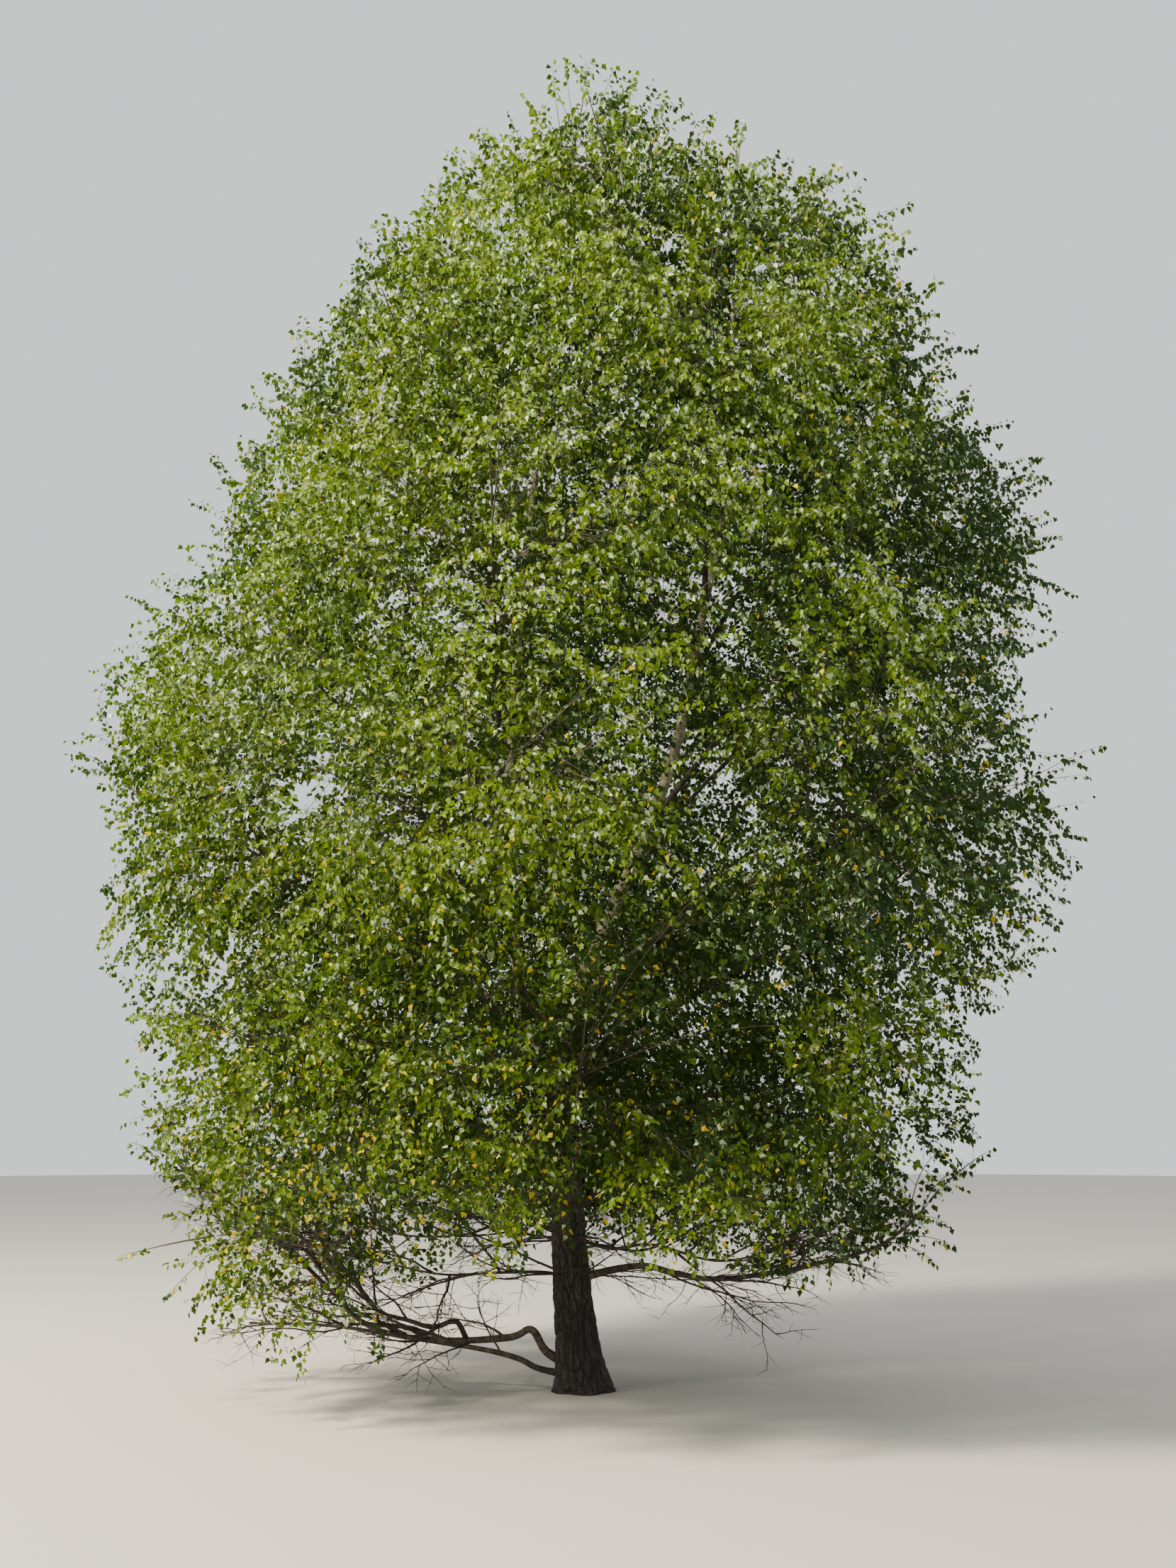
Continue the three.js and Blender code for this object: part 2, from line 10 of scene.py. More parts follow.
import bpy
import numpy as np
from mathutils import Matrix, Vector


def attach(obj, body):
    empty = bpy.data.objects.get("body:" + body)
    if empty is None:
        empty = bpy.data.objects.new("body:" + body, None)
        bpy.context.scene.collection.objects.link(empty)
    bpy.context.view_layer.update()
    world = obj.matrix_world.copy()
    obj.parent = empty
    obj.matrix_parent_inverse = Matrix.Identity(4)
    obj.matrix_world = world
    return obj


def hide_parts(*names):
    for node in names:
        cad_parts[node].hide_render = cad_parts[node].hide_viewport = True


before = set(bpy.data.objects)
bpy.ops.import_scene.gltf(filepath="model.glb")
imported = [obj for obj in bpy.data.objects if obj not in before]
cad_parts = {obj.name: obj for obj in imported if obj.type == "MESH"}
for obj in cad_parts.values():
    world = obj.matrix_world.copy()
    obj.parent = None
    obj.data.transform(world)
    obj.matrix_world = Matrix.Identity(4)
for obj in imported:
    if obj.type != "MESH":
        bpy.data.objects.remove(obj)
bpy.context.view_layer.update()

# %% [markdown]
# ## Chance that repeats
#
# A tree looks random, but this one has to grow the same way every time. Two small rules do that:
# one deals a number between 0 and 1 for any whole number, and one spreads points evenly through a
# cube, which a plain random draw doesn't do. It leaves clumps and holes.

# %% Chances, even points and vectors
EVEN_STEPS = np.array([0.8191725134, 0.6710436067, 0.5497004779])
UP = np.array([0.0, 0.0, 1.0])
TURN = 2 * np.pi


def chance(n, seed=0):
    """The fraction that is left of 43758.5453 * sin(12.9898 * (n + seed))."""
    return np.sin((np.asarray(n) + seed) * 12.9898) * 43758.5453 % 1.0


def even_points(first, count):
    """Point n of the sequence is the fraction that is left of 0.5 + n * EVEN_STEPS."""
    return (0.5 + np.arange(first, first + count)[:, None] * EVEN_STEPS) % 1.0


def unit(v):
    """Each vector of an array over its own length."""
    return v / np.maximum(np.linalg.norm(v, axis=-1, keepdims=True), 1e-9)


def between(a, b, share):
    """a + (b - a) * share."""
    return a + (b - a) * share


def jitter(shape, seed):
    """An array of vectors with parts dealt from -1 to 1: 2 * chance - 1 of three numbers in a row."""
    shape = (*np.atleast_1d(shape), 3)
    return 2 * chance(np.arange(np.prod(shape)).reshape(shape), 3 * seed) - 1


print("the first chances are", chance([1, 2, 3]).round(3))

# %% [markdown]
# ## Paths
#
# Every limb, twig and stalk is a path with a thickness. Limbs run through a few points that were
# read off the tree, so they are smooth curves through points. Twigs need only a start, a bend and
# an end, so they are quadratic curves, and one line of numpy makes thousands of them at once.

# %% Curves through points and quadratic curves
FINE = 40


def evenly(path, count):
    """count points at equal distances along a path of straight stretches."""
    gone = np.r_[0, np.cumsum(np.linalg.norm(np.diff(path, axis=0), axis=1))]
    at = np.linspace(0, gone[-1], count)
    return np.stack([np.interp(at, gone, path[:, k]) for k in range(3)], axis=1)


def smooth_path(points, count):
    """The curve through points whose slope at each is half the way from the one before to the one after.
    On each stretch it is the cubic with those ends and slopes."""
    p = np.asarray(points, dtype=float)
    p = np.vstack([2 * p[0] - p[1], p, 2 * p[-1] - p[-2]])
    t = np.linspace(0, 1, FINE, endpoint=False)[:, None]
    stretches = [
        (2 * t**3 - 3 * t**2 + 1) * b + (t**3 - 2 * t**2 + t) * (c - a) / 2
        + (3 * t**2 - 2 * t**3) * c + (t**3 - t**2) * (d - b) / 2
        for a, b, c, d in zip(p, p[1:], p[2:], p[3:])
    ]
    return evenly(np.vstack([*stretches, p[-2:-1]]), count)


def arcs(start, bend, end, count):
    """Quadratic curves (1-t)^2 start + 2t(1-t) bend + t^2 end, one for each row of three arrays."""
    t = np.linspace(0, 1, count)[:, None]
    start, bend, end = (np.asarray(p)[..., None, :] for p in (start, bend, end))
    return (1 - t) ** 2 * start + 2 * t * (1 - t) * bend + t**2 * end


def place_on(paths, which, share):
    """The point, and the heading there, at a share of the way along some of the paths."""
    steps = paths.shape[1] - 1
    step = np.minimum((share * steps).astype(int), steps - 1)
    a = paths[which, step]
    b = paths[which, step + 1]
    return between(a, b, (share * steps - step)[..., None]), unit(b - a)


# %% [markdown]
# ## The crown's outline
#
# What makes one tree differ from the next is its outline, so it is measured and not left to chance:
# the furthest leaf to the left and to the right at each height. Seen from above the crown is an
# oval with those half-widths. Twigs head out of the crown, hang a little at its foot and rise at
# its top, as a birch's do.

# %% Reach, way out and lift
# Heights, and how far the furthest leaf there is to the left and to the right.
CROWN = np.array([
    (0.40, 2.75, 2.10), (1.00, 2.90, 2.55), (1.65, 3.20, 2.75), (2.40, 3.15, 2.80), (3.00, 3.45, 3.35),
    (3.70, 3.40, 3.60), (4.40, 3.75, 3.78), (4.95, 3.45, 3.15), (5.40, 3.35, 3.40), (6.10, 2.72, 3.65),
    (6.70, 2.65, 3.20), (7.40, 2.20, 2.90), (8.10, 1.75, 2.52), (8.70, 1.35, 2.45), (9.20, 0.95, 1.75),
    (9.60, 0.60, 1.00), (10.05, 0.26, 0.20),
])
CROWN_TOP = CROWN[-1, 0]
CROWN_MIDDLE = 4.5
OUTWARD_RISE = 0.45
LIFT_HEIGHTS = (1.5, 9.0)
LIFT_MOST = 0.3
SKIRT_FLOOR = 1.0


def reach_at(z, angle):
    """The oval's radius at an angle: 1 / hypot(cos / half-width on that side, sin / mean half-width)."""
    left = np.interp(z, CROWN[:, 0], CROWN[:, 1])
    right = np.interp(z, CROWN[:, 0], CROWN[:, 2])
    side = np.where(np.cos(angle) > 0, right, left)
    return 1 / np.hypot(np.cos(angle) / side, np.sin(angle) / ((left + right) / 2))


def way_out(points):
    """Away from the crown's middle, with height counted for OUTWARD_RISE of breadth."""
    return unit((points - CROWN_MIDDLE * UP) * [1, 1, OUTWARD_RISE])


def lift_at(z):
    """From -LIFT_MOST at the foot of the crown to LIFT_MOST at its top, as an array of vectors."""
    low, high = LIFT_HEIGHTS
    return (LIFT_MOST * (2 * (z - low) / (high - low) - 1))[..., None] * UP


print("the crown reaches from", CROWN[:, 1].max(), "on the left to", CROWN[:, 2].max(), "on the right")

# %% [markdown]
# ## The limbs
#
# The same named sizes and rule as in the solids give every limb's path here: a trunk that leans to
# the left and forks, two leaders, one bough for each mass of foliage, and long low boughs near the
# ground. Each is a path and a radius at its foot and its tip.

# %% Trunk and leaders
FORK_HEIGHT = 2.3
DENSE = 200
TRUNK_PATH = smooth_path([
    (0, 0, 0), (-0.060, 0, 0.5), (-0.095, 0, 1.0), (-0.120, 0.005, 1.65), (-0.122, 0.010, FORK_HEIGHT),
], DENSE)
TRUNK_FOOT = 0.150
TRUNK_TIP = 0.074


def limb_through(points, foot, tip):
    """A limb: its path through a few points, and its radius at its foot and at its tip."""
    return dict(path=smooth_path(points, DENSE), foot=foot, tip=tip)


LEADERS = {
    "right": limb_through([
        (-0.120, 0.010, 2.15), (-0.060, 0, 2.56), (0.390, -0.090, 3.59), (0.640, -0.130, 4.27),
        (0.800, -0.110, 5.00), (1.050, -0.060, 6.29), (1.120, 0, 7.20), (1.150, 0.020, 7.95),
    ], foot=0.058, tip=0.013),
    "left": limb_through([
        (-0.115, 0.010, 1.78), (-0.350, 0.060, 2.25), (-0.500, 0.110, 3.03), (-0.600, 0.140, 3.40),
        (-0.550, 0.150, 3.90), (-0.480, 0.120, 5.20), (-0.330, 0.060, 6.80), (-0.170, 0, 8.45),
    ], foot=0.048, tip=0.012),
}
print("the trunk forks at", FORK_HEIGHT, "m, and the leaders end at",
      [float(leader["path"][-1, 2]) for leader in LEADERS.values()])

# %% Boughs of the crown and low boughs
# Each ring of masses: how many, turned by how many degrees, their height, how far in they are as a share
# of the reach, how far down their boughs leave and how that is spread, foot radius, and twigs for each.
TIER_KEYS = ("name", "count", "turn", "height", "inward", "rise", "spread", "foot", "twigs")
TIERS = [dict(zip(TIER_KEYS, row)) for row in (
    ("skirt", 6, 30, 2.10, 0.68, 0.75, 0.09, 0.029, 8),
    ("lower", 6, 15, 3.60, 0.70, 1.40, 0.12, 0.030, 7),
    ("middle", 5, 40, 5.20, 0.66, 1.75, 0.13, 0.027, 8),
    ("upper", 5, 9, 6.80, 0.62, 1.70, 0.15, 0.023, 7),
    ("high", 3, 40, 8.15, 0.60, 1.45, 0.16, 0.019, 7),
)]
BOUGH_TIP = 0.012
BOUGH_SHARE = 0.66
BOUGH_ARCH = 0.1
# Boughs left of this place, and those that head left and start over this height, leave the left leader.
LEADER_DIVIDE = 0.1
HEADS_LEFT = -0.4
LEFT_LEADER_CLEAR = 2.13
LOW_MASSES = [
    dict(name="low_left", centre=(-2.28, -0.56, 1.0), floor=0.38, twigs=6, limb=limb_through([
        (-0.06, 0, 0.15), (-0.24, -0.03, 0.25), (-0.34, -0.06, 0.39), (-0.49, -0.10, 0.345),
        (-0.96, -0.22, 0.345), (-1.37, -0.33, 0.44), (-1.64, -0.40, 0.69), (-1.85, -0.45, 0.89),
    ], foot=0.028, tip=BOUGH_TIP)),
    dict(name="low_right", centre=(2.18, -0.44, 1.18), floor=0.85, twigs=5, limb=limb_through([
        (-0.075, 0, 0.69), (0.13, -0.02, 0.75), (0.40, -0.07, 0.795), (0.62, -0.12, 0.75),
        (0.90, -0.17, 0.72), (1.32, -0.26, 0.78), (1.74, -0.35, 0.88),
    ], foot=0.026, tip=BOUGH_TIP)),
]
# The bough next to the ground is bare.
GROUND_BOUGH = limb_through([
    (-0.05, 0.02, 0.09), (-0.29, 0.06, 0.13), (-0.43, 0.09, 0.19), (-0.66, 0.14, 0.24),
    (-1.07, 0.22, 0.29), (-1.72, 0.33, 0.37), (-2.30, 0.42, 0.38),
], foot=0.022, tip=0.008)
# The masses at the top grow on from the leaders.
TOP_MASSES = [
    dict(name="top_left", centre=(-0.06, 0, 9.25), limb=LEADERS["left"], floor=SKIRT_FLOOR, twigs=6),
    dict(name="top_right", centre=(1.18, 0, 8.70), limb=LEADERS["right"], floor=SKIRT_FLOOR, twigs=6),
]


def tier_masses(tier):
    """The masses of one ring, evenly round the crown. Each has a bough that leaves its carrier lower
    down, runs BOUGH_SHARE of the way to the mass's middle, and is arched upwards."""
    made = []
    for k in range(tier["count"]):
        angle = (tier["turn"] / 360 + k / tier["count"]) * TURN
        reach = reach_at(tier["height"], angle) * tier["inward"]
        centre = np.array([reach * np.cos(angle), reach * np.sin(angle), tier["height"]])
        leaves = tier["height"] - tier["rise"] + tier["spread"] * (k - (tier["count"] - 1) / 2)
        carrier = TRUNK_PATH
        if leaves > FORK_HEIGHT:
            carrier = LEADERS["left" if centre[0] < LEADER_DIVIDE else "right"]["path"]
        if leaves > LEFT_LEADER_CLEAR and np.cos(angle) < HEADS_LEFT:
            carrier = LEADERS["left"]["path"]
        start = np.array([np.interp(leaves, carrier[:, 2], carrier[:, axis]) for axis in range(3)])
        end = between(start, centre, BOUGH_SHARE)
        bend = (start + end) / 2 + UP * BOUGH_ARCH * np.linalg.norm(end - start)
        limb = dict(path=evenly(arcs(start, bend, end, DENSE), DENSE), foot=tier["foot"], tip=BOUGH_TIP)
        name = f"{tier['name']}_{k + 1}"
        made.append(dict(name=name, centre=centre, limb=limb, floor=SKIRT_FLOOR, twigs=tier["twigs"]))
    return made


masses = [mass for tier in TIERS for mass in tier_masses(tier)] + LOW_MASSES
boughs = {f"bough_{mass['name']}": mass["limb"] for mass in masses}
boughs["bough_ground_left"] = GROUND_BOUGH
masses += TOP_MASSES
print(len(boughs), "boughs and", len(masses), "masses")

# %% [markdown]
# ## Each mass keeps to its own space
#
# A mass owns the part of the crown that is nearer to its middle than to any other. Sprays that stay
# inside that space leave thin dark seams between the masses. The foliage also lies further in where
# two masses meet and where smooth noise is low, so that a crown looks like a heap of clumps and not
# like one ball.

# %% Room inside a mass's space, and depth under the crown's outline
DEEPEST_REACH = 3.60
centres = np.array([mass["centre"] for mass in masses])
floors = np.array([mass["floor"] for mass in masses])
centre_gaps = np.linalg.norm(centres[:, None] - centres, axis=2)
np.fill_diagonal(centre_gaps, np.inf)
print("the nearest two masses have their middles", centre_gaps.min().round(2), "m apart")


def owner_of(points):
    """The mass with the nearest middle, and the distance to the plane half-way to the next one:
    (d_other^2 - d_own^2) / (2 * distance between the two middles), at its least."""
    square = ((points[:, None] - centres) ** 2).sum(axis=2)
    own = square.argmin(axis=1)
    least = square[np.arange(len(points)), own]
    room = (square - least[:, None]) / (2 * centre_gaps[own])
    room[np.arange(len(points)), own] = np.inf
    return own, room.min(axis=1)


def depth_at(points):
    """How deep points lie in the crown: the least of the way to the oval, to the top, and to the front
    or the back."""
    reach = reach_at(points[:, 2], np.arctan2(points[:, 1], points[:, 0]))
    inside = reach - np.hypot(points[:, 0], points[:, 1])
    return np.minimum.reduce([inside, CROWN_TOP - points[:, 2], DEEPEST_REACH - np.abs(points[:, 1])])


# %% What shows to the eye
EYE = np.array([0.035, -11.06, 1.65])
# Where the foliage is thick, as seen from the eye: height, and how far to the left and to the right.
THICK = np.array([
    (0.40, 2.50, 1.90), (1.00, 2.60, 2.35), (1.65, 2.90, 2.62), (2.40, 2.95, 2.76), (3.00, 3.12, 3.15),
    (3.70, 3.22, 3.38), (4.40, 3.32, 3.16), (4.95, 3.32, 3.02), (5.40, 3.04, 3.22), (5.75, 2.64, 3.34),
    (6.10, 2.52, 3.20), (6.70, 2.36, 2.95), (7.40, 1.95, 2.55), (8.10, 1.68, 2.52), (8.70, 1.25, 1.90),
    (9.20, 0.28, 0.74), (9.45, -0.05, 0.35),
])


def seen_at(points):
    """Where points show in the plane of the trunk, y = 0: there the line from the eye through each
    point meets it."""
    share = -EYE[1] / (points[:, 1] - EYE[1])
    return EYE[[0, 2]] + (points[:, [0, 2]] - EYE[[0, 2]]) * share[:, None]


def shown_depth(points, outline):
    """How far inside an outline points show to the eye, measured level, and from its top down."""
    across, z = seen_at(points).T
    left, right = (np.interp(z, outline[:, 0], outline[:, side]) for side in (1, 2))
    return np.minimum.reduce([across + left, right - across, outline[-1, 0] - z])


print("the eye is", -EYE[1], "m from the trunk, and",
      round(-EYE[1] - DEEPEST_REACH, 2), "m from the nearest leaves")

# %% Smooth noise in space
CELL_KEYS = [57.31, 131.77, 17.93]


def noise(points, seed):
    """Smooth noise from 0 to 1: chances at the eight corners of each point's unit cube, blended by
    3t^2 - 2t^3 along each axis."""
    cell = np.floor(points)
    t = points - cell
    t = t * t * (3 - 2 * t)
    total = 0
    for corner in np.ndindex(2, 2, 2):
        weight = np.prod(np.where(corner, t, 1 - t), axis=-1)
        total += weight * chance((cell + corner) @ CELL_KEYS, seed)
    return total


print("noise at the masses' middles is", noise(centres, seed=5)[:4].round(2), "and so on")

# %% [markdown]
# ## Stems and branches
#
# A stem grows on from the tip of each bough, past the middle of its mass. Branches leave the stem
# one after the other and end on the crown's outline, at places that are as far from one another as
# they can be. This is the rule that the coarse solids followed, so the branches reach the same
# places and the crown keeps its size.

# %% Stems grow on from the limbs
STEM_FOOT = 0.95
STEM_TIP = 0.008
STEM_ONWARD = 0.15
STEM_STEPS = 9
limb_ends = np.array([mass["limb"]["path"][-1] for mass in masses])
limb_headings = unit(limb_ends - np.array([mass["limb"]["path"][-4] for mass in masses]))
stem_feet = STEM_FOOT * np.array([mass["limb"]["tip"] for mass in masses])
stem_ends = centres + (centres - limb_ends) * STEM_ONWARD
stem_lengths = np.linalg.norm(stem_ends - limb_ends, axis=1, keepdims=True)
stems = arcs(limb_ends, limb_ends + limb_headings * stem_lengths / 2, stem_ends, STEM_STEPS)
print("stems are", stem_lengths.min().round(2), "to", stem_lengths.max().round(2), "m long")

# %% Branch tips, spread over the outline
# A mass's part of the outline: its girth and height in metres, the least radius that the girth is
# taken at, how deep tips may lie, how many places are tried, and how far apart tips are at least.
PATCH = dict(girth=4.0, height=3.0, least=0.9, depth=0.3, places=500, apart=0.52)
CLEARANCE = 0.008
TIP_INSET = 1.5 * CLEARANCE
SEED_STEP = 1009
FURTHEST_TIPS = np.array([(-3.74, 0, 4.40), (3.77, 0, 4.40), (-0.15, 0, 10.03)])


def outline_tips(k, taken):
    """Branch tips of mass k: of many places on its part of the outline, each next one is that furthest
    from all the tips so far. The crown's furthest tips come first."""
    middle = centres[k]
    girth = max(np.hypot(middle[0], middle[1]), PATCH["least"])
    spread = even_points((k + 1) * SEED_STEP, PATCH["places"])
    angle = np.arctan2(middle[1], middle[0]) + (spread[:, 0] - 0.5) * min(TURN, PATCH["girth"] / girth)
    z = middle[2] + (spread[:, 1] - 0.5) * PATCH["height"]
    radius = reach_at(z, angle) - TIP_INSET - PATCH["depth"] * spread[:, 2] ** 3
    places = np.stack([radius * np.cos(angle), radius * np.sin(angle), z], axis=1)
    own, room = owner_of(places)
    room = np.minimum.reduce([room, depth_at(places), places[:, 2] - floors[own]])
    places = places[(own == k) & (room > CLEARANCE)]
    own, _ = owner_of(FURTHEST_TIPS)
    tips = list(FURTHEST_TIPS[own == k])
    while len(tips) < masses[k]["twigs"]:
        others = np.array([*taken, *tips])
        free = np.full(len(places), np.inf)
        if len(others):
            free = np.linalg.norm(places[:, None] - others, axis=2).min(axis=1)
        if free.max() < PATCH["apart"]:
            break
        tips.append(places[free.argmax()])
    return tips


taken = []
branch_tips = []
for k in range(len(masses)):
    tips = outline_tips(k, taken)
    taken += tips
    onward = unit(stems[k, -1] - stems[k, -3])
    branch_tips.append(sorted(tips, key=lambda tip: tip @ onward))
print(sum(map(len, branch_tips)), "branch tips")

# %% Branches from the stems to those tips
BRANCH_PLACES = (0.15, 0.95)
BRANCH_FOOT = 0.5
BRANCH_OUTWARD = 0.4
BRANCH_TIP = 0.0014
BRANCH_STEPS = 10
# A tip that shows outside the outline is drawn back to its stem, by this share at a time.
DRAW_BACK = 0.07
DRAWS = 8
branch_mass = np.repeat(np.arange(len(masses)), [len(tips) for tips in branch_tips])
branch_share = np.concatenate([
    between(*BRANCH_PLACES, (np.arange(len(tips)) + 0.5) / len(tips)) for tips in branch_tips])
tips = np.concatenate(branch_tips)
starts, _ = place_on(stems, branch_mass, branch_share)
gaps = np.linalg.norm(tips - starts, axis=1, keepdims=True)
aims = unit(unit(tips - starts) + BRANCH_OUTWARD * way_out(tips) + lift_at(tips[:, 2]))
for _ in range(DRAWS):
    tips = between(tips, starts, DRAW_BACK * (shown_depth(tips, CROWN) < 0)[:, None])
branches = arcs(starts, tips - aims * gaps / 2, tips, BRANCH_STEPS)
branch_feet = BRANCH_FOOT * between(stem_feet[branch_mass], STEM_TIP, branch_share)
print(len(branches), "branches leave the stems on their sides")

# %% Each stem ends in a branch of its own
LEAD_LENGTH = 0.5
LEAD_OUTWARD = 0.1
onwards = unit(stems[:, -1] - stems[:, -2]) * LEAD_LENGTH
leads = arcs(stem_ends, stem_ends + onwards / 2, stem_ends + onwards + way_out(stem_ends) * LEAD_OUTWARD,
             BRANCH_STEPS)
branches = np.concatenate([branches, leads])
branch_feet = np.r_[branch_feet, np.full(len(leads), STEM_TIP)]
branch_mass = np.r_[branch_mass, np.arange(len(masses))]
print(len(branches), "branches,", np.linalg.norm(branches[:, -1] - branches[:, 0], axis=1).mean().round(2),
      "m long on average")

# %% [markdown]
# ## Sprays fill the space of each mass
#
# The next finer level has thousands of ends, and a birch sends them wherever there is light: most
# lie within a metre of the outline, few in the dark middle. So the ends are dealt out first, evenly
# through the crown, and thinned out deep inside, along the seams between masses, and where the sky
# shows through. Then each end grows from the place on a coarser limb that reaches it most easily.

# %% How thick the foliage is, going inwards
SPRAY_DEPTHS = ((0.0, 0.0), (0.18, 0.5), (0.38, 1.0), (1.2, 1.0), (1.8, 0.70), (2.5, 0.40), (3.3, 0.20))
SHOWN_DEPTHS = ((-0.28, 0.02), (-0.06, 0.32), (0.08, 1.0))
FLOOR_DEPTHS = ((-0.08, 0.0), (0.0, 0.45), (0.14, 1.0))
# Low down near the trunk there are no leaves. On the left they are thin below this height.
LOW_FOLIAGE = dict(below=1.3, within=1.45, shares=((0.35, 0.26), (0.8, 0.56), (1.3, 0.88)))
# At a seam between two masses: how wide it is, and the share of the sprays that is left in its middle.
SEAM = 0.30
SEAM_SHARE = 0.45


def curve(table, x):
    """The value at x on straight lines between a table's pairs (x, value), level beyond its ends."""
    return np.interp(x, *np.transpose(table))


print("half as thick at a depth of", SPRAY_DEPTHS[1][0], "m, and in the middle", curve(SPRAY_DEPTHS, 3.3))

# %% Clumps, hollows and places where the sky shows
# How far in the foliage lies at a seam and in a hollow of the outline, and how wide the two are.
SEAM_RECESS = 0.35
SEAM_WIDTH = 0.55
HOLLOW_RECESS = 0.60
HOLLOW_WIDTH = 0.95
# How hollow a place is, from 0 to 1: the level less the contrast times noise. Sprays are as thick as
# the first share where it is 0, and as the second where it is 1.
HOLLOW_LEVEL = 1.25
HOLLOW_CONTRAST = 2.1
HOLLOW_SHARES = (1.15, 0.55)
# Nearer than this to the plane of the trunk the foliage lies in by less, and in the plane not at all.
FRONT_ON = 1.6
# Sky shows through round these places: across and height in the plane of the trunk, and radius.
GLINTS = np.array([
    (-1.95, 4.00, 0.42), (-1.95, 4.05, 0.32), (-1.15, 5.60, 0.42), (-0.20, 6.50, 0.32), (0.85, 5.60, 0.34),
    (1.20, 5.20, 0.34), (1.45, 4.60, 0.30), (1.20, 3.75, 0.40), (-0.65, 3.70, 0.30), (-2.60, 5.30, 0.24),
    (0.95, 4.10, 0.24), (2.45, 3.25, 0.28), (-1.45, 3.75, 0.22), (2.95, 4.35, 0.26), (2.90, 3.75, 0.26),
])
GLINT_THINNING = 0.72
# Clumps that stand out in the light (up to 2) and hollows that lie in the shade (down to -1.6), on
# the front: across and height in the plane of the trunk, radius and strength. Their light and shade
# is also painted into the leaves' greens.
RELIEF = np.array([
    (1.56, 7.57, 0.90, 1.0), (-0.07, 8.22, 0.65, 0.8), (-0.55, 3.78, 0.90, 1.0), (-2.20, 4.75, 0.90, -0.4),
    (-0.50, 5.85, 0.65, 1.0), (2.16, 5.14, 0.45, 1.0), (-1.37, 1.86, 0.65, 0.3), (1.86, 2.26, 0.55, 2.0),
    (0.25, 1.35, 0.45, 1.2), (2.88, 5.85, 0.45, -0.5), (1.16, 5.50, 0.50, -0.6), (0.78, 2.35, 0.80, -1.6),
    (-1.15, 2.48, 0.42, -0.7), (-0.15, 2.48, 0.42, -0.5), (1.97, 3.60, 0.40, -0.2), (-0.65, 4.75, 0.55, 0.9),
    (-0.55, 6.50, 0.55, 0.7), (1.35, 6.20, 0.50, 0.7), (1.28, 4.28, 0.40, 0.7), (0.75, 3.78, 0.35, 0.4),
    (1.25, 1.40, 0.40, 1.0), (2.15, 6.75, 0.50, 0.6), (-0.33, 1.90, 0.35, 0.7), (-1.39, 1.35, 0.35, -0.5),
    (-0.60, 2.95, 0.40, 0.5), (1.27, 2.90, 0.35, 0.5),
])
# How far a clump of strength 1 fills up a hollow.
RELIEF_PUSH = 0.40
RELIEF_BACK = 0.3


def relief_at(points):
    """The sum of strength * e^-(distance / radius)^2, whole at the front and none behind RELIEF_BACK."""
    seen = seen_at(points)
    x, z, radius, strength = RELIEF.T[:, :, None]
    falls = np.exp(-((seen[:, 0] - x) ** 2 + (seen[:, 1] - z) ** 2) / radius**2)
    return (strength * falls).sum(axis=0) * np.clip(RELIEF_BACK - points[:, 1], 0, 1)


print(len(RELIEF), "clumps and hollows, and", len(GLINTS), "places where the sky shows")

# %% Where sprays end
SPRAY_PLACES = 26500
SHAKE = 0.13
box_low = np.array([-CROWN[:, 1].max(), -DEEPEST_REACH, floors.min()])
box_high = np.array([CROWN[:, 2].max(), DEEPEST_REACH, CROWN_TOP])
places = between(box_low, box_high, even_points(1, SPRAY_PLACES)) + SHAKE * jitter(SPRAY_PLACES, seed=3)
own, room = owner_of(places)
hollows = np.clip(HOLLOW_LEVEL - HOLLOW_CONTRAST * noise(places / HOLLOW_WIDTH, seed=5), 0, 1)
recess = SEAM_RECESS * (1 - np.clip(room / SEAM_WIDTH, 0, 1)) ** 2 + HOLLOW_RECESS * hollows
recess = np.clip(recess - RELIEF_PUSH * relief_at(places), 0, None)
# The outline that the camera sees was measured, so hollows leave it as it is.
depth = depth_at(places) - recess * np.clip(np.abs(places[:, 1]) / FRONT_ON, 0, 1)
thickness = curve(SPRAY_DEPTHS, depth)
thickness *= curve(SHOWN_DEPTHS, shown_depth(places, THICK))
thickness *= curve(FLOOR_DEPTHS, places[:, 2] - floors[own])
low = (places[:, 2] < LOW_FOLIAGE["below"]) & (places[:, 0] < 0)
bare = (np.hypot(places[:, 0], places[:, 1]) < LOW_FOLIAGE["within"]) & (places[:, 2] < SKIRT_FLOOR)
thickness *= np.select([bare, low], [0, curve(LOW_FOLIAGE["shares"], places[:, 2])], 1)
thickness *= between(SEAM_SHARE, 1.0, np.clip(room / SEAM, 0, 1))
thickness *= between(*HOLLOW_SHARES, hollows)
for x, z, radius in GLINTS:
    off = np.linalg.norm(seen_at(places) - (x, z), axis=1)
    thickness *= 1 - GLINT_THINNING * np.exp(-((off / radius) ** 2))
kept = chance(np.arange(SPRAY_PLACES), seed=7) < thickness
ends, end_mass, end_depth = places[kept], own[kept], depth[kept]
volume = np.prod(box_high - box_low) * (depth > 0).mean()
print(len(ends), "sprays in a crown of", round(volume), "cubic metres")

# %% What sprays grow from
LIMB_PLACES = 24


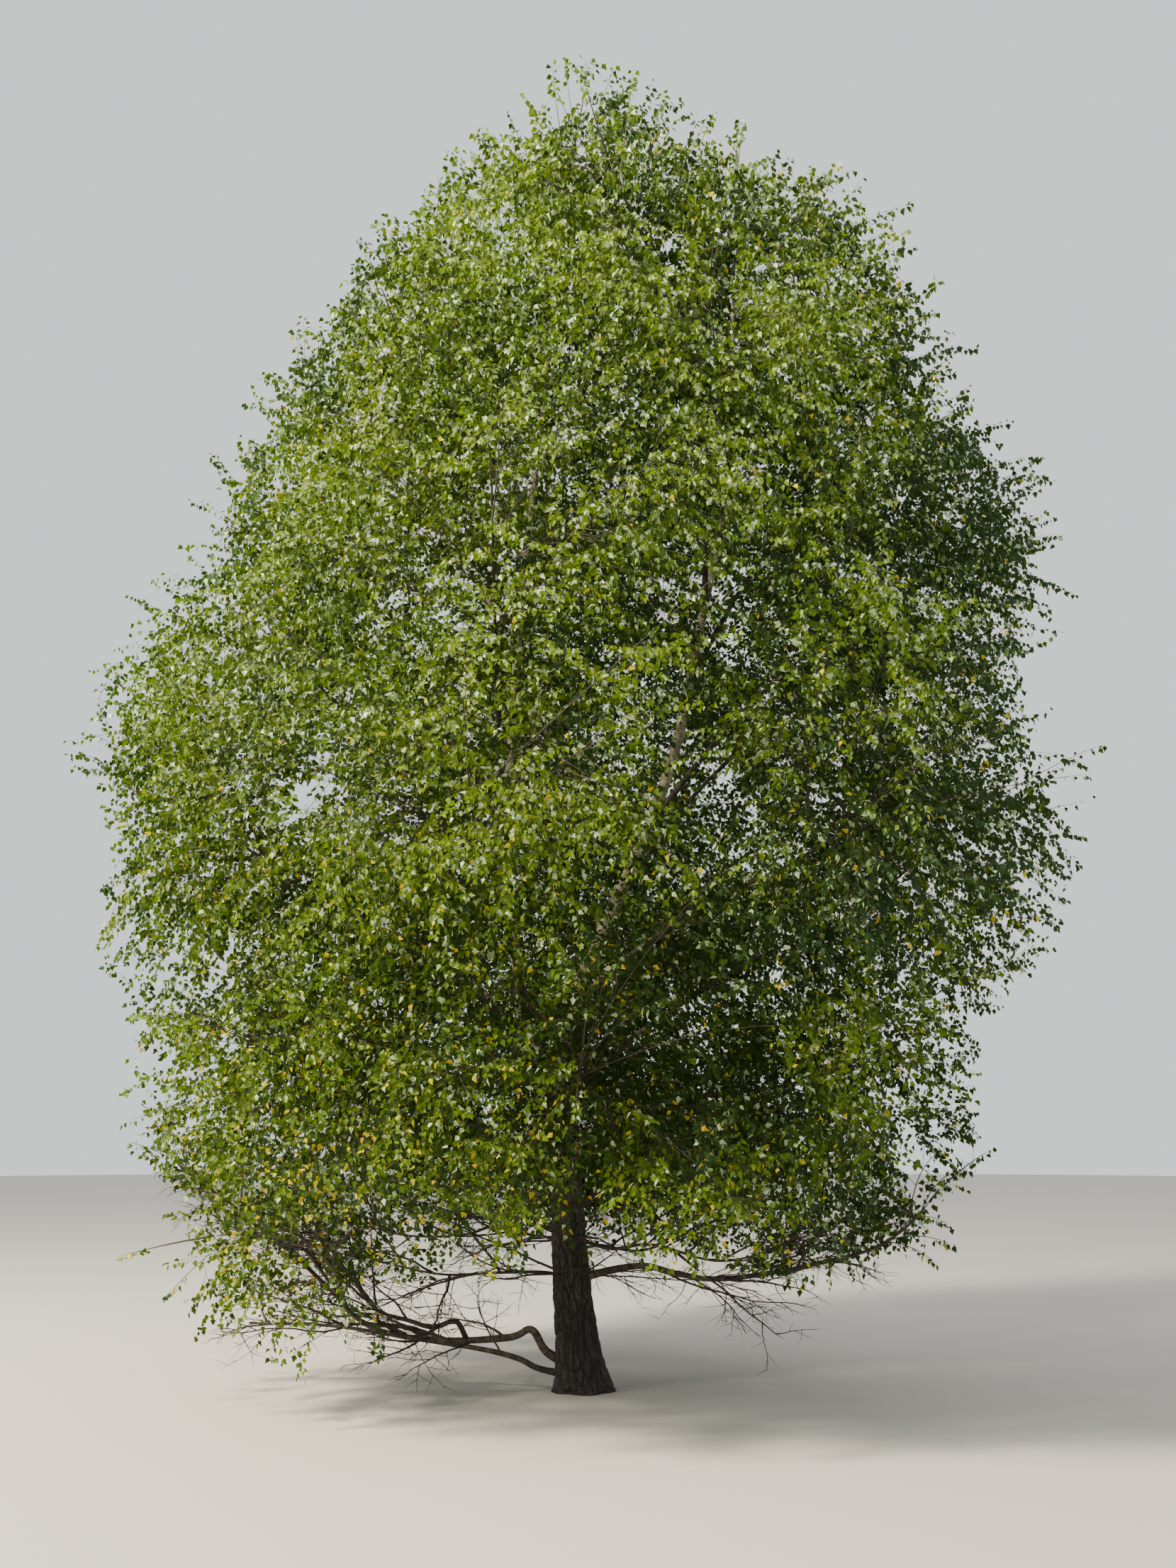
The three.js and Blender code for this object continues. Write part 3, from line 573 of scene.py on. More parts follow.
def grower(paths, feet, tips, owner, first):
    """Places that sprays may grow from: points on paths beyond a first share, with the way back to the
    point before, their headings, thickness and mass. A limb belongs to no mass, which is written as -1."""
    count = paths.shape[1]
    headings = unit(np.gradient(paths, axis=1))
    back = np.diff(paths[:, ::-1], axis=1, append=paths[:, :1])[:, ::-1]
    radius = between(feet[:, None], tips, np.linspace(0, 1, count))
    owner = np.broadcast_to(np.asarray(owner)[:, None], radius.shape)
    use = np.linspace(0, 1, count) >= first
    return (*(vectors[:, use].reshape(-1, 3) for vectors in (paths, back, headings)),
            *(numbers[:, use].ravel() for numbers in (radius, owner)))


limb_paths = np.array([evenly(mass["limb"]["path"], LIMB_PLACES) for mass in masses])
limb_feet = np.array([mass["limb"]["foot"] for mass in masses])
growers = [
    grower(stems, stem_feet, STEM_TIP, np.arange(len(masses)), first=0.0),
    grower(branches, branch_feet, BRANCH_TIP, branch_mass, first=0.1),
    grower(limb_paths, limb_feet, BOUGH_TIP, np.full(len(masses), -1), first=0.45),
]
from_places, from_back, from_headings, from_radii, from_mass = (
    np.concatenate(parts) for parts in zip(*growers))
print(len(from_places), "places to grow from")

# %% The place that reaches each spray most easily
ACUTE = 0.65
CROSSING = 1.0
# An end that is nearer or further than this gets no spray.
SPRAY_SPANS = (0.08, 1.3)
# The ends are compared with the places in so many parts, which saves memory.
PARTS = 16


def easiest(ends, owners):
    """For each end the place with the least distance * (1 + ACUTE * (1 - cos)), where cos compares the
    way to the end with the limb's own heading. A place in another mass counts CROSSING further."""
    found = []
    for part in np.array_split(np.arange(len(ends)), PARTS):
        way = ends[part][:, None] - from_places
        gap = np.linalg.norm(way, axis=2)
        cos = (way * from_headings).sum(axis=2) / np.maximum(gap, 1e-6)
        foreign = (from_mass >= 0) & (from_mass != owners[part][:, None])
        found.append((gap * (1 + ACUTE * (1 - cos)) + CROSSING * foreign).argmin(axis=1))
    return np.concatenate(found)


best = easiest(ends, end_mass)
span = np.linalg.norm(ends - from_places[best], axis=1)
kept = (span > SPRAY_SPANS[0]) & (span < SPRAY_SPANS[1])
ends, end_mass, end_depth, best, span = (values[kept] for values in (ends, end_mass, end_depth, best, span))
numbers = np.arange(len(ends))
ends_x, ends_y, ends_z = ends.T
print(len(ends), "sprays are in reach")

# %% Each spray's axis and its flat side
SPRAY_STEPS = 4
AXIS_ONWARD = 0.18
AXIS_LOOSE = 0.07
# How far an axis is lifted in its middle: height and share of its span.
AXIS_RISE = ((1.0, 0.05), (6.0, 0.06), (9.5, 0.0))
# An axis is thinner than its carrier, and a short one is thinner than a long one.
AXIS_FOOT = dict(most=0.0034, share=0.8, shortest=0.6)
AXIS_TIP = 0.0011
# What turns a spray's face: the way out of the crown, upwards and chance.
SPRAY_FACE = (0.55, 0.6, 0.45)


def blend(weights, *vectors):
    """The unit vector along weight * vector, added up."""
    return unit(sum(weight * vector for weight, vector in zip(weights, vectors)))


# Each starts somewhere between its place and the one before, so that they don't leave in bundles.
starts = from_places[best] + from_back[best] * chance(numbers, seed=83)[:, None]
rise = curve(AXIS_RISE, ends_z)[:, None] * UP
bends = (starts + ends) / 2 + span[:, None] * (AXIS_ONWARD * from_headings[best] + rise)
bends += AXIS_LOOSE * span[:, None] * jitter(len(ends), seed=11)
axes = arcs(starts, bends, ends, SPRAY_STEPS)
axis_feet = np.minimum(AXIS_FOOT["most"], AXIS_FOOT["share"] * from_radii[best])
axis_feet *= between(AXIS_FOOT["shortest"], 1.0, np.clip(span, 0, 1))
faces_up = blend(SPRAY_FACE, way_out(ends), UP, jitter(len(ends), seed=29))
print(len(axes), "spray axes,", span.mean().round(2), "m long on average")

# %% [markdown]
# ## Twigs and leaves of a spray
#
# A birch spray is nearly flat. Thin twigs leave its axis in turn on the left and on the right, at a
# sharp angle, and get shorter towards the end, where one last twig carries straight on. The flat side
# faces up and out, so each spray shades the one below it. Leaves follow the same rule, one size
# smaller, and hang a little on their stalks.

# %% Places in turn on either side
def in_turn(paths, faces, count, first, last, seed, play=1.0, flip=None, loose_seed=None):
    """count places on each path, in turn on either side, spread evenly from a first share of the way to
    a last and moved by chance within the share play of their own stretch. Gives what was dealt, the
    shares, the points, their headings, the ways across them, square to faces, and loose vectors."""
    which = np.arange(len(paths))[:, None]
    slots = np.arange(count)
    deal = chance(which * count + slots, seed)
    share = between(first, last, (slots + 0.5 + play * (deal - 0.5)) / count)
    points, headings = place_on(paths, which, share)
    hand = np.where((slots + (which if flip is None else flip)) % 2, 1.0, -1.0)
    across = unit(np.cross(faces, headings)) * hand[..., None]
    return deal, share, points, headings, across, jitter(deal.shape, loose_seed or seed)


# %% Twigs on both sides of every axis
SIDE_TWIGS = 5
TWIG_PLACES = dict(first=0.26, last=0.94)
# What goes into a twig's aim: its axis's heading, the way across, the lift and chance.
TWIG_AIM = (0.62, 0.78, 0.8, 0.28)
# Low down in the open the twigs spread level and don't hang: height and share of the lift.
HANGING = ((0.72, 0.05), (3.0, 1.0))
# A spray's longest twig is TWIG_BASE and TWIG_GROWTH of its axis's span, within the limits.
TWIG_BASE = 0.12
TWIG_GROWTH = 0.42
TWIG_LIMITS = (0.16, 0.34)
TWIG_TAPER = (1.0, 0.55)
TWIG_VARIES = (0.75, 1.15)
# A chance times this makes the next chance.
TWIG_SHUFFLE = 999
flipped = chance(numbers, seed=57)[:, None] < 0.5
deal, share, starts, headings, across, loose = in_turn(
    axes, faces_up[:, None], SIDE_TWIGS, **TWIG_PLACES, seed=101, flip=flipped, loose_seed=301)
hanging = curve(HANGING, ends_z)[:, None]
aims = blend(TWIG_AIM, headings, across, lift_at(starts[..., 2]) * hanging[..., None], loose)
longest = np.clip(TWIG_GROWTH * span + TWIG_BASE, *TWIG_LIMITS)
lengths = longest[:, None] * between(*TWIG_TAPER, share)
lengths *= between(*TWIG_VARIES, chance(TWIG_SHUFFLE * deal))
print(deal.size, "side twigs,", lengths.mean().round(3), "m long on average")

# %% One more twig at each end
OUTER = 0.9
SHOOT_SHARE = 0.42
SHOOT_LENGTH = 2.0
END_RISE = dict(shoot=0.55, other=0.15)
# What goes into its aim: the axis's heading, the way out, the lift, the rise and chance.
END_AIM = (1.0, 0.35, 1.0, 1.0, 0.25)
END_VARIES = (0.7, 1.25)
# Less deep than OUTER, some of these are long upright shoots.
shoots = (chance(numbers, seed=71) < SHOOT_SHARE) & (end_depth < OUTER)
end_headings = unit(axes[:, -1] - axes[:, -2])
upright = np.where(shoots, END_RISE["shoot"], END_RISE["other"])[:, None] * UP
end_aims = blend(END_AIM, end_headings, way_out(ends), lift_at(ends_z) * hanging, upright,
                 jitter(len(ends), seed=401))
end_lengths = longest * between(*END_VARIES, chance(numbers, seed=977))
end_lengths[shoots] *= SHOOT_LENGTH
twig_starts = np.concatenate([starts.reshape(-1, 3), ends])
twig_aims = np.concatenate([aims.reshape(-1, 3), end_aims])
twig_lengths = np.concatenate([lengths.ravel(), end_lengths])
twig_spray = np.r_[np.repeat(numbers, SIDE_TWIGS), numbers]
print(len(twig_starts), "twigs before trimming,", shoots.sum(), "of them shoots")

# %% A twig that would leave the crown is shortened, or left out
EDGE = 0.02
# A twig may hang this far under the floor of its mass.
FLOOR_SPARE = 0.16
CUTS = (0.75, 0.7, 0.65)
# Shoots of the upper crown may stand out of the outline by this much, near the plane of the trunk.
SHOOT_SPARE = 0.26
SHOOT_HEIGHTS = (4.7, 9.2)
SHOOT_BREADTH = 2.5


def is_inside(points, spray, spare):
    """True where a twig's end lies in the crown, over its mass's floor, and shows in the outline."""
    over_floor = points[:, 2] - floors[end_mass[spray]] + FLOOR_SPARE
    return np.minimum.reduce([depth_at(points), shown_depth(points, CROWN), over_floor]) > EDGE - spare


low, high = SHOOT_HEIGHTS
free = (ends_z > low) & (ends_z < high) & (np.abs(ends_y) < SHOOT_BREADTH)
spare = np.r_[np.zeros(deal.size), SHOOT_SPARE * (shoots & free)]
for cut in CUTS:
    outside = ~is_inside(twig_starts + twig_aims * twig_lengths[:, None], twig_spray, spare)
    twig_lengths[outside] *= cut
kept = is_inside(twig_starts + twig_aims * twig_lengths[:, None], twig_spray, spare)
twig_starts, twig_aims, twig_lengths, twig_spray = (
    values[kept] for values in (twig_starts, twig_aims, twig_lengths, twig_spray))
print(len(twig_starts), "twigs stay inside")

# %% Twigs near the outline arch, and those inside the crown stay straight
ARCHED = 0.7
TWIG_MIDDLE = 0.55
TWIG_SAG = 0.13
# How much of that sag a twig has at each height.
SAG_HEIGHTS = ((0.8, 0.2), (3.0, 1.2), (7.0, 1.0), (9.5, 0.1))
outer = (end_depth < ARCHED)[twig_spray]
sag = (curve(SAG_HEIGHTS, twig_starts[:, 2]) * TWIG_SAG * twig_lengths * outer)[:, None] * UP
way = twig_aims * twig_lengths[:, None]
twigs = np.stack([twig_starts, twig_starts + way * TWIG_MIDDLE, twig_starts + way - sag], axis=1)
print(outer.sum(), "twigs near the outline, and all are", twig_lengths.mean().round(3), "m long on average")

# %% Leaves on a path
LEAF_LENGTH = 0.0415
LEAF_VARIES = (0.72, 1.22)
# How much a leaf hangs at each height, and what goes into its aim: its carrier's heading, the way
# across, the hang and chance. Its face is turned with the spray's by LEAF_LEVEL, and by chance.
LEAF_HANG = ((2.0, 0.62), (7.5, 0.95))
LEAF_AIM = (0.35, 0.72, -1.0, 0.5)
LEAF_LEVEL = 0.6
LEAF_PLAY = 0.6
# The front is looked at from near by. There leaves are smaller and closer together than behind.
SIZE_SHARES = ((-3.0, 0.84), (0.0, 1.0), (2.0, 1.09))
COUNT_SHARES = ((-3.0, 1.0), (0.0, 0.80), (2.0, 0.70))
# The leaves of the top are the largest.
TOP_SIZES = ((6.0, 1.0), (8.5, 1.16))


def leaves_on(paths, faces, spray, count, first, seed, last=1.0, keep=1.0):
    """Leaves on paths: count places from first to last, in turn on either side, kept by chance.
    Each points sideways, onwards and down, and its face turns with the spray's, loosely."""
    deal, _, points, headings, across, loose = in_turn(
        paths, faces[:, None], count, first, last, seed, play=LEAF_PLAY)
    each = np.arange(deal.size).reshape(deal.shape)
    back, height = points[..., 1], points[..., 2]
    tips = blend(LEAF_AIM, headings, across, curve(LEAF_HANG, height)[..., None] * UP, loose)
    normals = LEAF_LEVEL * faces[:, None] + np.roll(loose, 1, axis=2) * [1, -1, 1]
    size = LEAF_LENGTH * between(*LEAF_VARIES, chance(each, seed + 0.5))
    size *= curve(SIZE_SHARES, back) * curve(TOP_SIZES, height)
    use = chance(each, seed + 0.25) < np.reshape(keep, (-1, 1)) * curve(COUNT_SHARES, back)
    owner = np.broadcast_to(spray[:, None], use.shape)
    return points[use], tips[use], normals[use], size[use], owner[use]


# %% Leaves on twigs, on the axes, and on the ends of the branches
# A twig of this length has all its leaves, and a shorter one fewer. A long one has more of them.
FULL_TWIG = 0.30
FEWEST = 0.25
LONG_TWIG = 0.36
AXIS_KEEP = 0.8
BRANCH_END = 4
BRANCH_LEVEL = 0.6
twig_faces = faces_up[twig_spray]
twig_keep = np.clip(twig_lengths / FULL_TWIG, FEWEST, 1.0)
long = twig_lengths > LONG_TWIG
branch_faces = unit(way_out(branches[:, -1]) + BRANCH_LEVEL * UP)
# The leaves of a branch go with the spray whose end is nearest.
nearest_spray = np.array([np.linalg.norm(ends - tip, axis=1).argmin() for tip in branches[:, -1]])
groups = [
    leaves_on(twigs, twig_faces, twig_spray, count=16, first=0.10, seed=1000, keep=twig_keep),
    leaves_on(axes, faces_up, numbers, count=9, first=0.35, last=0.98, seed=2000, keep=AXIS_KEEP),
    leaves_on(branches[:, -BRANCH_END:], branch_faces, nearest_spray, count=17, first=0.1, seed=3000),
    leaves_on(twigs[long], twig_faces[long], twig_spray[long], count=6, first=0.3, seed=4000),
]
leaf_points, leaf_tips, leaf_normals, leaf_sizes, leaf_spray = (
    np.concatenate(parts) for parts in zip(*groups))
print(len(leaf_points), "leaves,", (1000 * leaf_sizes.mean()).round(1), "mm long on average")

# %% [markdown]
# ## Meshes from whole arrays
#
# Millions of numbers go into these meshes, so none of them is set one by one. A small pattern of
# points and triangles is worked out once, repeated for every twig or leaf by adding its number
# times the pattern's size, and handed to Blender in one go.

# %% One mesh from arrays
def put_piece(name, points, triangles, material, smooth=True, **values):
    """Makes a mesh object of points (n, 3) and triangles (m, 3). values are numbers or vectors, one
    for each point, kept on the mesh under their names for the material to read."""
    mesh = bpy.data.meshes.new(name)
    mesh.vertices.add(len(points))
    mesh.vertices.foreach_set("co", points.astype(np.float32).ravel())
    mesh.loops.add(triangles.size)
    mesh.loops.foreach_set("vertex_index", triangles.astype(np.int32).ravel())
    mesh.polygons.add(len(triangles))
    mesh.polygons.foreach_set("loop_start", np.arange(0, triangles.size, 3, dtype=np.int32))
    mesh.polygons.foreach_set("use_smooth", np.full(len(triangles), smooth))
    for key, value in values.items():
        kind, field = ("FLOAT_VECTOR", "vector") if value.ndim == 2 else ("FLOAT", "value")
        mesh.attributes.new(key, kind, "POINT").data.foreach_set(field, value.astype(np.float32).ravel())
    mesh.update(calc_edges=True)
    mesh.materials.append(material)
    piece = bpy.data.objects.new(name, mesh)
    bpy.context.collection.objects.link(piece)
    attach(piece, "root")
    print(name, "has", len(triangles), "triangles")
    return piece


# %% Rings of points, and the triangles between them
def ring_points(middles, first, second, radius, sides):
    """Rings round the points of one path or many: middle + radius * (cos * first + sin * second).
    radius has one number for each ring, or one for each of its points."""
    turn = TURN * np.arange(sides)[:, None] / sides
    way = np.cos(turn) * first[..., None, :] + np.sin(turn) * second[..., None, :]
    return middles[..., None, :] + way * radius[..., None]


def wall_triangles(rings, sides):
    """The walls between rings whose points are numbered in a row, each quad cut in two."""
    ring, side = np.meshgrid(np.arange(rings - 1), np.arange(sides), indexing="ij")
    here = (ring * sides + side).ravel()
    after = (ring * sides + (side + 1) % sides).ravel()
    return np.concatenate([
        np.stack([here, after, after + sides], 1), np.stack([here, after + sides, here + sides], 1)])


def fan(first, sides, tip):
    """Triangles from the ring that starts with the point numbered first to one tip."""
    side = np.arange(sides)
    return np.stack([first + side, first + (side + 1) % sides, np.full(sides, tip)], 1)


def side_frames(headings, whole):
    """Two directions square to each heading. The first is square to the axis least along the whole."""
    level = np.eye(3)[np.abs(whole).argmin(axis=-1)]
    first = unit(np.cross(headings, level[..., None, :]))
    return first, np.cross(headings, first)


print("a ring of", 3, "sides needs", len(wall_triangles(2, 3)), "triangles to the next one")

# %% Many tubes at once
def tube_pattern(rings, sides):
    """Triangles of one closed tube: walls, a cap on the first ring, and a fan to the tip."""
    side = np.arange(1, sides - 1)
    cap = np.stack([0 * side, side + 1, side], 1)
    tip = fan((rings - 1) * sides, sides, rings * sides)
    return np.concatenate([wall_triangles(rings, sides), cap, tip])


def tubes(paths, radii, sides):
    """Closed tapering tubes along many paths: a ring of points at every step but the last, and the
    last point of the path as the tip."""
    count, steps, _ = paths.shape
    first, second = side_frames(unit(np.gradient(paths, axis=1)), paths[:, -1] - paths[:, 0])
    ring = ring_points(paths[:, :-1], first[:, :-1], second[:, :-1], radii[:, :-1, None], sides)
    points = np.concatenate([ring.reshape(count, -1, 3), paths[:, -1:]], axis=1)
    triangles = tube_pattern(steps - 1, sides) + (np.arange(count) * points.shape[1])[:, None, None]
    return points.reshape(-1, 3), triangles.reshape(-1, 3)


def joined(*meshes):
    """Several (points, triangles) pairs as one."""
    before = np.cumsum([0] + [len(points) for points, _ in meshes[:-1]])
    return (np.concatenate([points for points, _ in meshes]),
            np.concatenate([triangles + first for (_, triangles), first in zip(meshes, before)]))


def tapered(feet, tip, steps):
    """Radii from each foot to the tip, evenly, one row for each foot."""
    return between(np.asarray(feet)[:, None], tip, np.linspace(0, 1, steps))


print("a twig in three steps takes", len(tube_pattern(2, 3)), "triangles")

# %% [markdown]
# ## Finishes
#
# A material starts from what the real surface is. Silver birch bark is a papery white skin with
# dark breathing pores that lie across it, and at the foot of the tree it splits into black cork.
# Twigs are thin, brown and a little glossy. A leaf is thin enough to let light through, so it
# glows when the sun is behind it, and its waxy top gives it pale glints.

# %% Colours and nodes
def linear(code):
    """A colour code such as 7a8c2d as the linear values that shaders use: c / 12.92 up to 0.04045,
    and ((c + 0.055) / 1.055) ** 2.4 above it."""
    c = np.array([int(code[k:k + 2], 16) for k in (0, 2, 4)]) / 255
    return (*np.where(c <= 0.04045, c / 12.92, ((c + 0.055) / 1.055) ** 2.4), 1.0)


def add(tree, kind, settings=None, links=None):
    """Adds a node. settings are properties, or values of inputs by name or number, and links say
    which output goes into which input."""
    node = tree.nodes.new(kind)
    for key, value in (settings or {}).items():
        if isinstance(key, str) and hasattr(node, key):
            setattr(node, key, value)
        else:
            node.inputs[key].default_value = value
    for key, output in (links or {}).items():
        tree.links.new(output, node.inputs[key])
    return node


def new_material(name):
    """A named material with a cleared node tree and its output node."""
    material = bpy.data.materials.new(name)
    material.use_nodes = True
    material.node_tree.nodes.clear()
    return material, material.node_tree, material.node_tree.nodes.new("ShaderNodeOutputMaterial")


# A Mix node for colours, and the numbers of its sockets.
RGBA_MIX = {"data_type": "RGBA"}
FACTOR, FIRST, SECOND, MIXED = 0, 6, 7, 2
# A noise texture of scale 1 draws marks about half a unit wide.
MARK = 0.5
print("pale paper is", tuple(round(c, 3) for c in linear("b8ae96")), "in linear values")

# %% Papery bark, split into black cork where the tree is old
PORE_WIDTH = 0.022
PORE_HEIGHT = 0.0045
PEEL_WIDTH = 1 / 9
PEEL_HEIGHT = 0.05
CORK_GRAIN = 1 / 110
CORK_DARK = "16120f"
CORK_WORN = "4a4239"
CRACK_BLACK = "0e0b09"


def birch_bark(name, pale, grey, brown, pores):
    """Bark of trunk and limbs. It reads the place on the unrolled limb, how corky the bark is, and
    how deep its cracks are from the mesh."""
    material, tree, out = new_material(name)
    place, cork, crack = (
        add(tree, "ShaderNodeAttribute", {"attribute_name": key}).outputs[output]
        for key, output in (("place", "Vector"), ("cork", "Fac"), ("crack", "Fac")))
    # Peeling sheets of paper differ from one another, in bands across the limb.
    squeeze = (1 / PEEL_WIDTH, 1 / PEEL_WIDTH, 1 / PEEL_HEIGHT)
    bands = add(tree, "ShaderNodeVectorMath", {"operation": "MULTIPLY", 1: squeeze}, {0: place})
    sheet = add(tree, "ShaderNodeTexNoise", {"Scale": 1.0, "Detail": 3.0}, {"Vector": bands.outputs[0]})
    tone = add(tree, "ShaderNodeMapRange", {"From Min": 0.38, "From Max": 0.62},
               {"Value": sheet.outputs["Fac"]})
    paper = add(tree, "ShaderNodeMix", {**RGBA_MIX, FIRST: linear(grey), SECOND: linear(pale)},
                {FACTOR: tone.outputs[0]})
    # Pores are dashes much wider than high.
    squeeze = (1 / PORE_WIDTH, 1 / PORE_WIDTH, 1 / PORE_HEIGHT)
    dashes = add(tree, "ShaderNodeVectorMath", {"operation": "MULTIPLY", 1: squeeze}, {0: place})
    pore = add(tree, "ShaderNodeTexNoise", {"Scale": MARK, "Detail": 1.0}, {"Vector": dashes.outputs[0]})
    dark = add(tree, "ShaderNodeMapRange", {"From Min": pores, "From Max": pores + 0.05},
               {"Value": pore.outputs["Fac"]})
    marked = add(tree, "ShaderNodeMix", {**RGBA_MIX, SECOND: linear(brown)},
                 {FACTOR: dark.outputs[0], FIRST: paper.outputs[MIXED]})
    # Cork is grey-black and rough, blacker down in its cracks.
    grain = add(tree, "ShaderNodeTexNoise", {"Scale": 1 / CORK_GRAIN, "Detail": 6.0, "Roughness": 0.65},
                {"Vector": place}).outputs["Fac"]
    worn = add(tree, "ShaderNodeMapRange", {"From Min": 0.35, "From Max": 0.68}, {"Value": grain})
    ridge = add(tree, "ShaderNodeMix", {**RGBA_MIX, FIRST: linear(CORK_DARK), SECOND: linear(CORK_WORN)},
                {FACTOR: worn.outputs[0]})
    corky = add(tree, "ShaderNodeMix", RGBA_MIX, {
        FACTOR: cork, FIRST: marked.outputs[MIXED], SECOND: ridge.outputs[MIXED]})
    whole = add(tree, "ShaderNodeMix", {**RGBA_MIX, SECOND: linear(CRACK_BLACK)},
                {FACTOR: crack, FIRST: corky.outputs[MIXED]})
    rough = add(tree, "ShaderNodeMapRange", {"To Min": 0.55, "To Max": 0.92}, {"Value": grain})
    bump = add(tree, "ShaderNodeBump", {"Strength": 0.8, "Distance": 0.004}, {"Height": grain})
    shader = add(tree, "ShaderNodeBsdfPrincipled", {}, {
        "Base Color": whole.outputs[MIXED], "Roughness": rough.outputs[0], "Normal": bump.outputs[0]})
    tree.links.new(shader.outputs[0], out.inputs["Surface"])
    return material


trunk_bark = birch_bark("silver_birch_bark_trunk", "7a7265", "463f36", "1f1a16", 0.60)
leader_bark = birch_bark("silver_birch_bark_leader", "b8ae96", "81785f", "332a20", 0.60)
bough_bark = birch_bark("silver_birch_bark_bough", "574e42", "372f27", "1c1612", 0.58)

# %% Young bark of branches and twigs
def twig_bark(name, dark, light, patch):
    """Smooth young bark, brown with a dull gloss. Its colour drifts over patches a few centimetres wide."""
    material, tree, out = new_material(name)
    place = add(tree, "ShaderNodeTexCoord").outputs["Object"]
    drift = add(tree, "ShaderNodeTexNoise", {"Scale": 1 / patch, "Detail": 3.0}, {"Vector": place})
    drift = drift.outputs["Fac"]
    colour = add(tree, "ShaderNodeMix", {**RGBA_MIX, FIRST: linear(dark), SECOND: linear(light)},
                 {FACTOR: drift})
    rough = add(tree, "ShaderNodeMapRange", {"To Min": 0.4, "To Max": 0.75}, {"Value": drift})
    shader = add(tree, "ShaderNodeBsdfPrincipled", {}, {
        "Base Color": colour.outputs[MIXED], "Roughness": rough.outputs[0]})
    tree.links.new(shader.outputs[0], out.inputs["Surface"])
    return material


branch_bark = twig_bark("young_birch_bark_branch", "221b14", "463d2e", patch=1 / 14)
fine_bark = twig_bark("young_birch_bark_twig", "2b2118", "4b3d2b", patch=0.025)
dead_bark = twig_bark("dead_birch_twig", "1d1613", "40342b", patch=0.04)
print("made", [material.name for material in (branch_bark, fine_bark, dead_bark)])

# %% Leaves that let light through
WAX_GRAIN = 0.009
# The share of the light that a leaf lets through and doesn't throw back.
LET_THROUGH = 0.27


def leaf_blade(name, top, through, gloss=0.2):
    """A thin leaf: a waxy surface mixed with light that comes through in a yellower colour. The wax
    varies in gloss, so some leaves catch the light and others don't."""
    material, tree, out = new_material(name)
    place = add(tree, "ShaderNodeTexCoord").outputs["Object"]
    wax = add(tree, "ShaderNodeTexNoise", {"Scale": MARK / WAX_GRAIN, "Detail": 2.0}, {"Vector": place})
    wax = wax.outputs["Fac"]
    rough = add(tree, "ShaderNodeMapRange",
                {"From Min": 0.3, "From Max": 0.7, "To Min": 0.28, "To Max": 0.55}, {"Value": wax})
    bump = add(tree, "ShaderNodeBump", {"Strength": 0.35, "Distance": 0.0015}, {"Height": wax})
    blade = add(tree, "ShaderNodeBsdfPrincipled", {"Base Color": linear(top), "Specular IOR Level": gloss},
                {"Roughness": rough.outputs[0], "Normal": bump.outputs[0]})
    glow = add(tree, "ShaderNodeBsdfTranslucent", {"Color": linear(through)})
    mixed = add(tree, "ShaderNodeMixShader", {0: LET_THROUGH}, {1: blade.outputs[0], 2: glow.outputs[0]})
    tree.links.new(mixed.outputs[0], out.inputs["Surface"])
    return material


# Each tint's top, the light that comes through it and, where it isn't the usual one, its gloss.
TINTS = {
    "lime": ("617810", "7e9b08"),
    "green": ("475f0e", "6a850c"),
    "deep": ("273c0a", "43610a"),
    "bluish": ("2d4624", "496b1a"),
    # Pale is partly the real underside of a turned leaf and partly a painted glint of light off the waxy
    # top.
    "pale": ("a8be8e", "9cb444", 0.5),
    "yellow": ("cabc1c", "d8ca20"),
    "gold": ("ccb01a", "dcc01e"),
}
leaf_materials = {tint: leaf_blade(f"birch_leaf_{tint}", *colours) for tint, colours in TINTS.items()}
print(len(bpy.data.materials), "materials")

# %% [markdown]
# ## The trunk's bark
#
# Old birch bark is read from its relief. At the foot it is split by long upright cracks into rough
# ridges, and higher up it is smooth, with faint rings. The trunk is a grid of level rings: its
# radius is the plain taper and root flare of the solid, plus a relief. Every crack is the border
# between two upright plates, coarse ones and finer ones, and a noise bends them, so that no two are
# alike. Lumps, rings and flakes are layers of smooth noise.

# %% Noise and cracks round a limb
def ripple(turn, height, cells, tall, seed):
    """Smooth noise from -0.5 to 0.5 on the side of a limb: so many cells round it, each of them tall,
    with chances at the four corners of each cell, blended by 3t^2 - 2t^3. turn is the share of the
    way round, and the noise closes after one turn."""
    u, v = turn * cells, height / tall
    iu, iv = np.floor(u), np.floor(v)
    tu, tv = (t * t * (3 - 2 * t) for t in (u - iu, v - iv))

    def corner(du, dv):
        return chance((iu + du) % cells * CELL_KEYS[0] + (iv + dv) * CELL_KEYS[1], seed)

    low = between(corner(0, 0), corner(1, 0), tu)
    high = between(corner(0, 1), corner(1, 1), tu)
    return between(low, high, tv) - 0.5


def smooth_step(low, high, value):
    """0 below low, 1 above high, and 3t^2 - 2t^3 between them."""
    t = np.clip((value - low) / (high - low), 0, 1)
    return t * t * (3 - 2 * t)


def plate_gaps(u, v, cells, seed):
    """How near each place is to the border between two plates: every cell of a grid holds one point,
    set by chance, and a plate is what lies nearest to its point. The gap is the distance to the second
    nearest point less that to the nearest. The grid closes after so many cells round."""
    iu, iv = np.floor(u), np.floor(v)
    nearest = second = np.full(u.shape, 9.0)
    for du, dv in np.ndindex(3, 3):
        cu, cv = iu + du - 1, iv + dv - 1
        key = cu % cells * CELL_KEYS[0] + cv * CELL_KEYS[1] + seed
        off = np.hypot(cu + chance(key) - u, cv + chance(key, seed=7.7) - v)
        second = np.minimum(second, np.maximum(nearest, off))
        nearest = np.minimum(nearest, off)
    return second - nearest


CRACK_CELLS = 22
PLATE_HEIGHT = 0.175
CRACK_WIDTH = (0.03, 0.24)
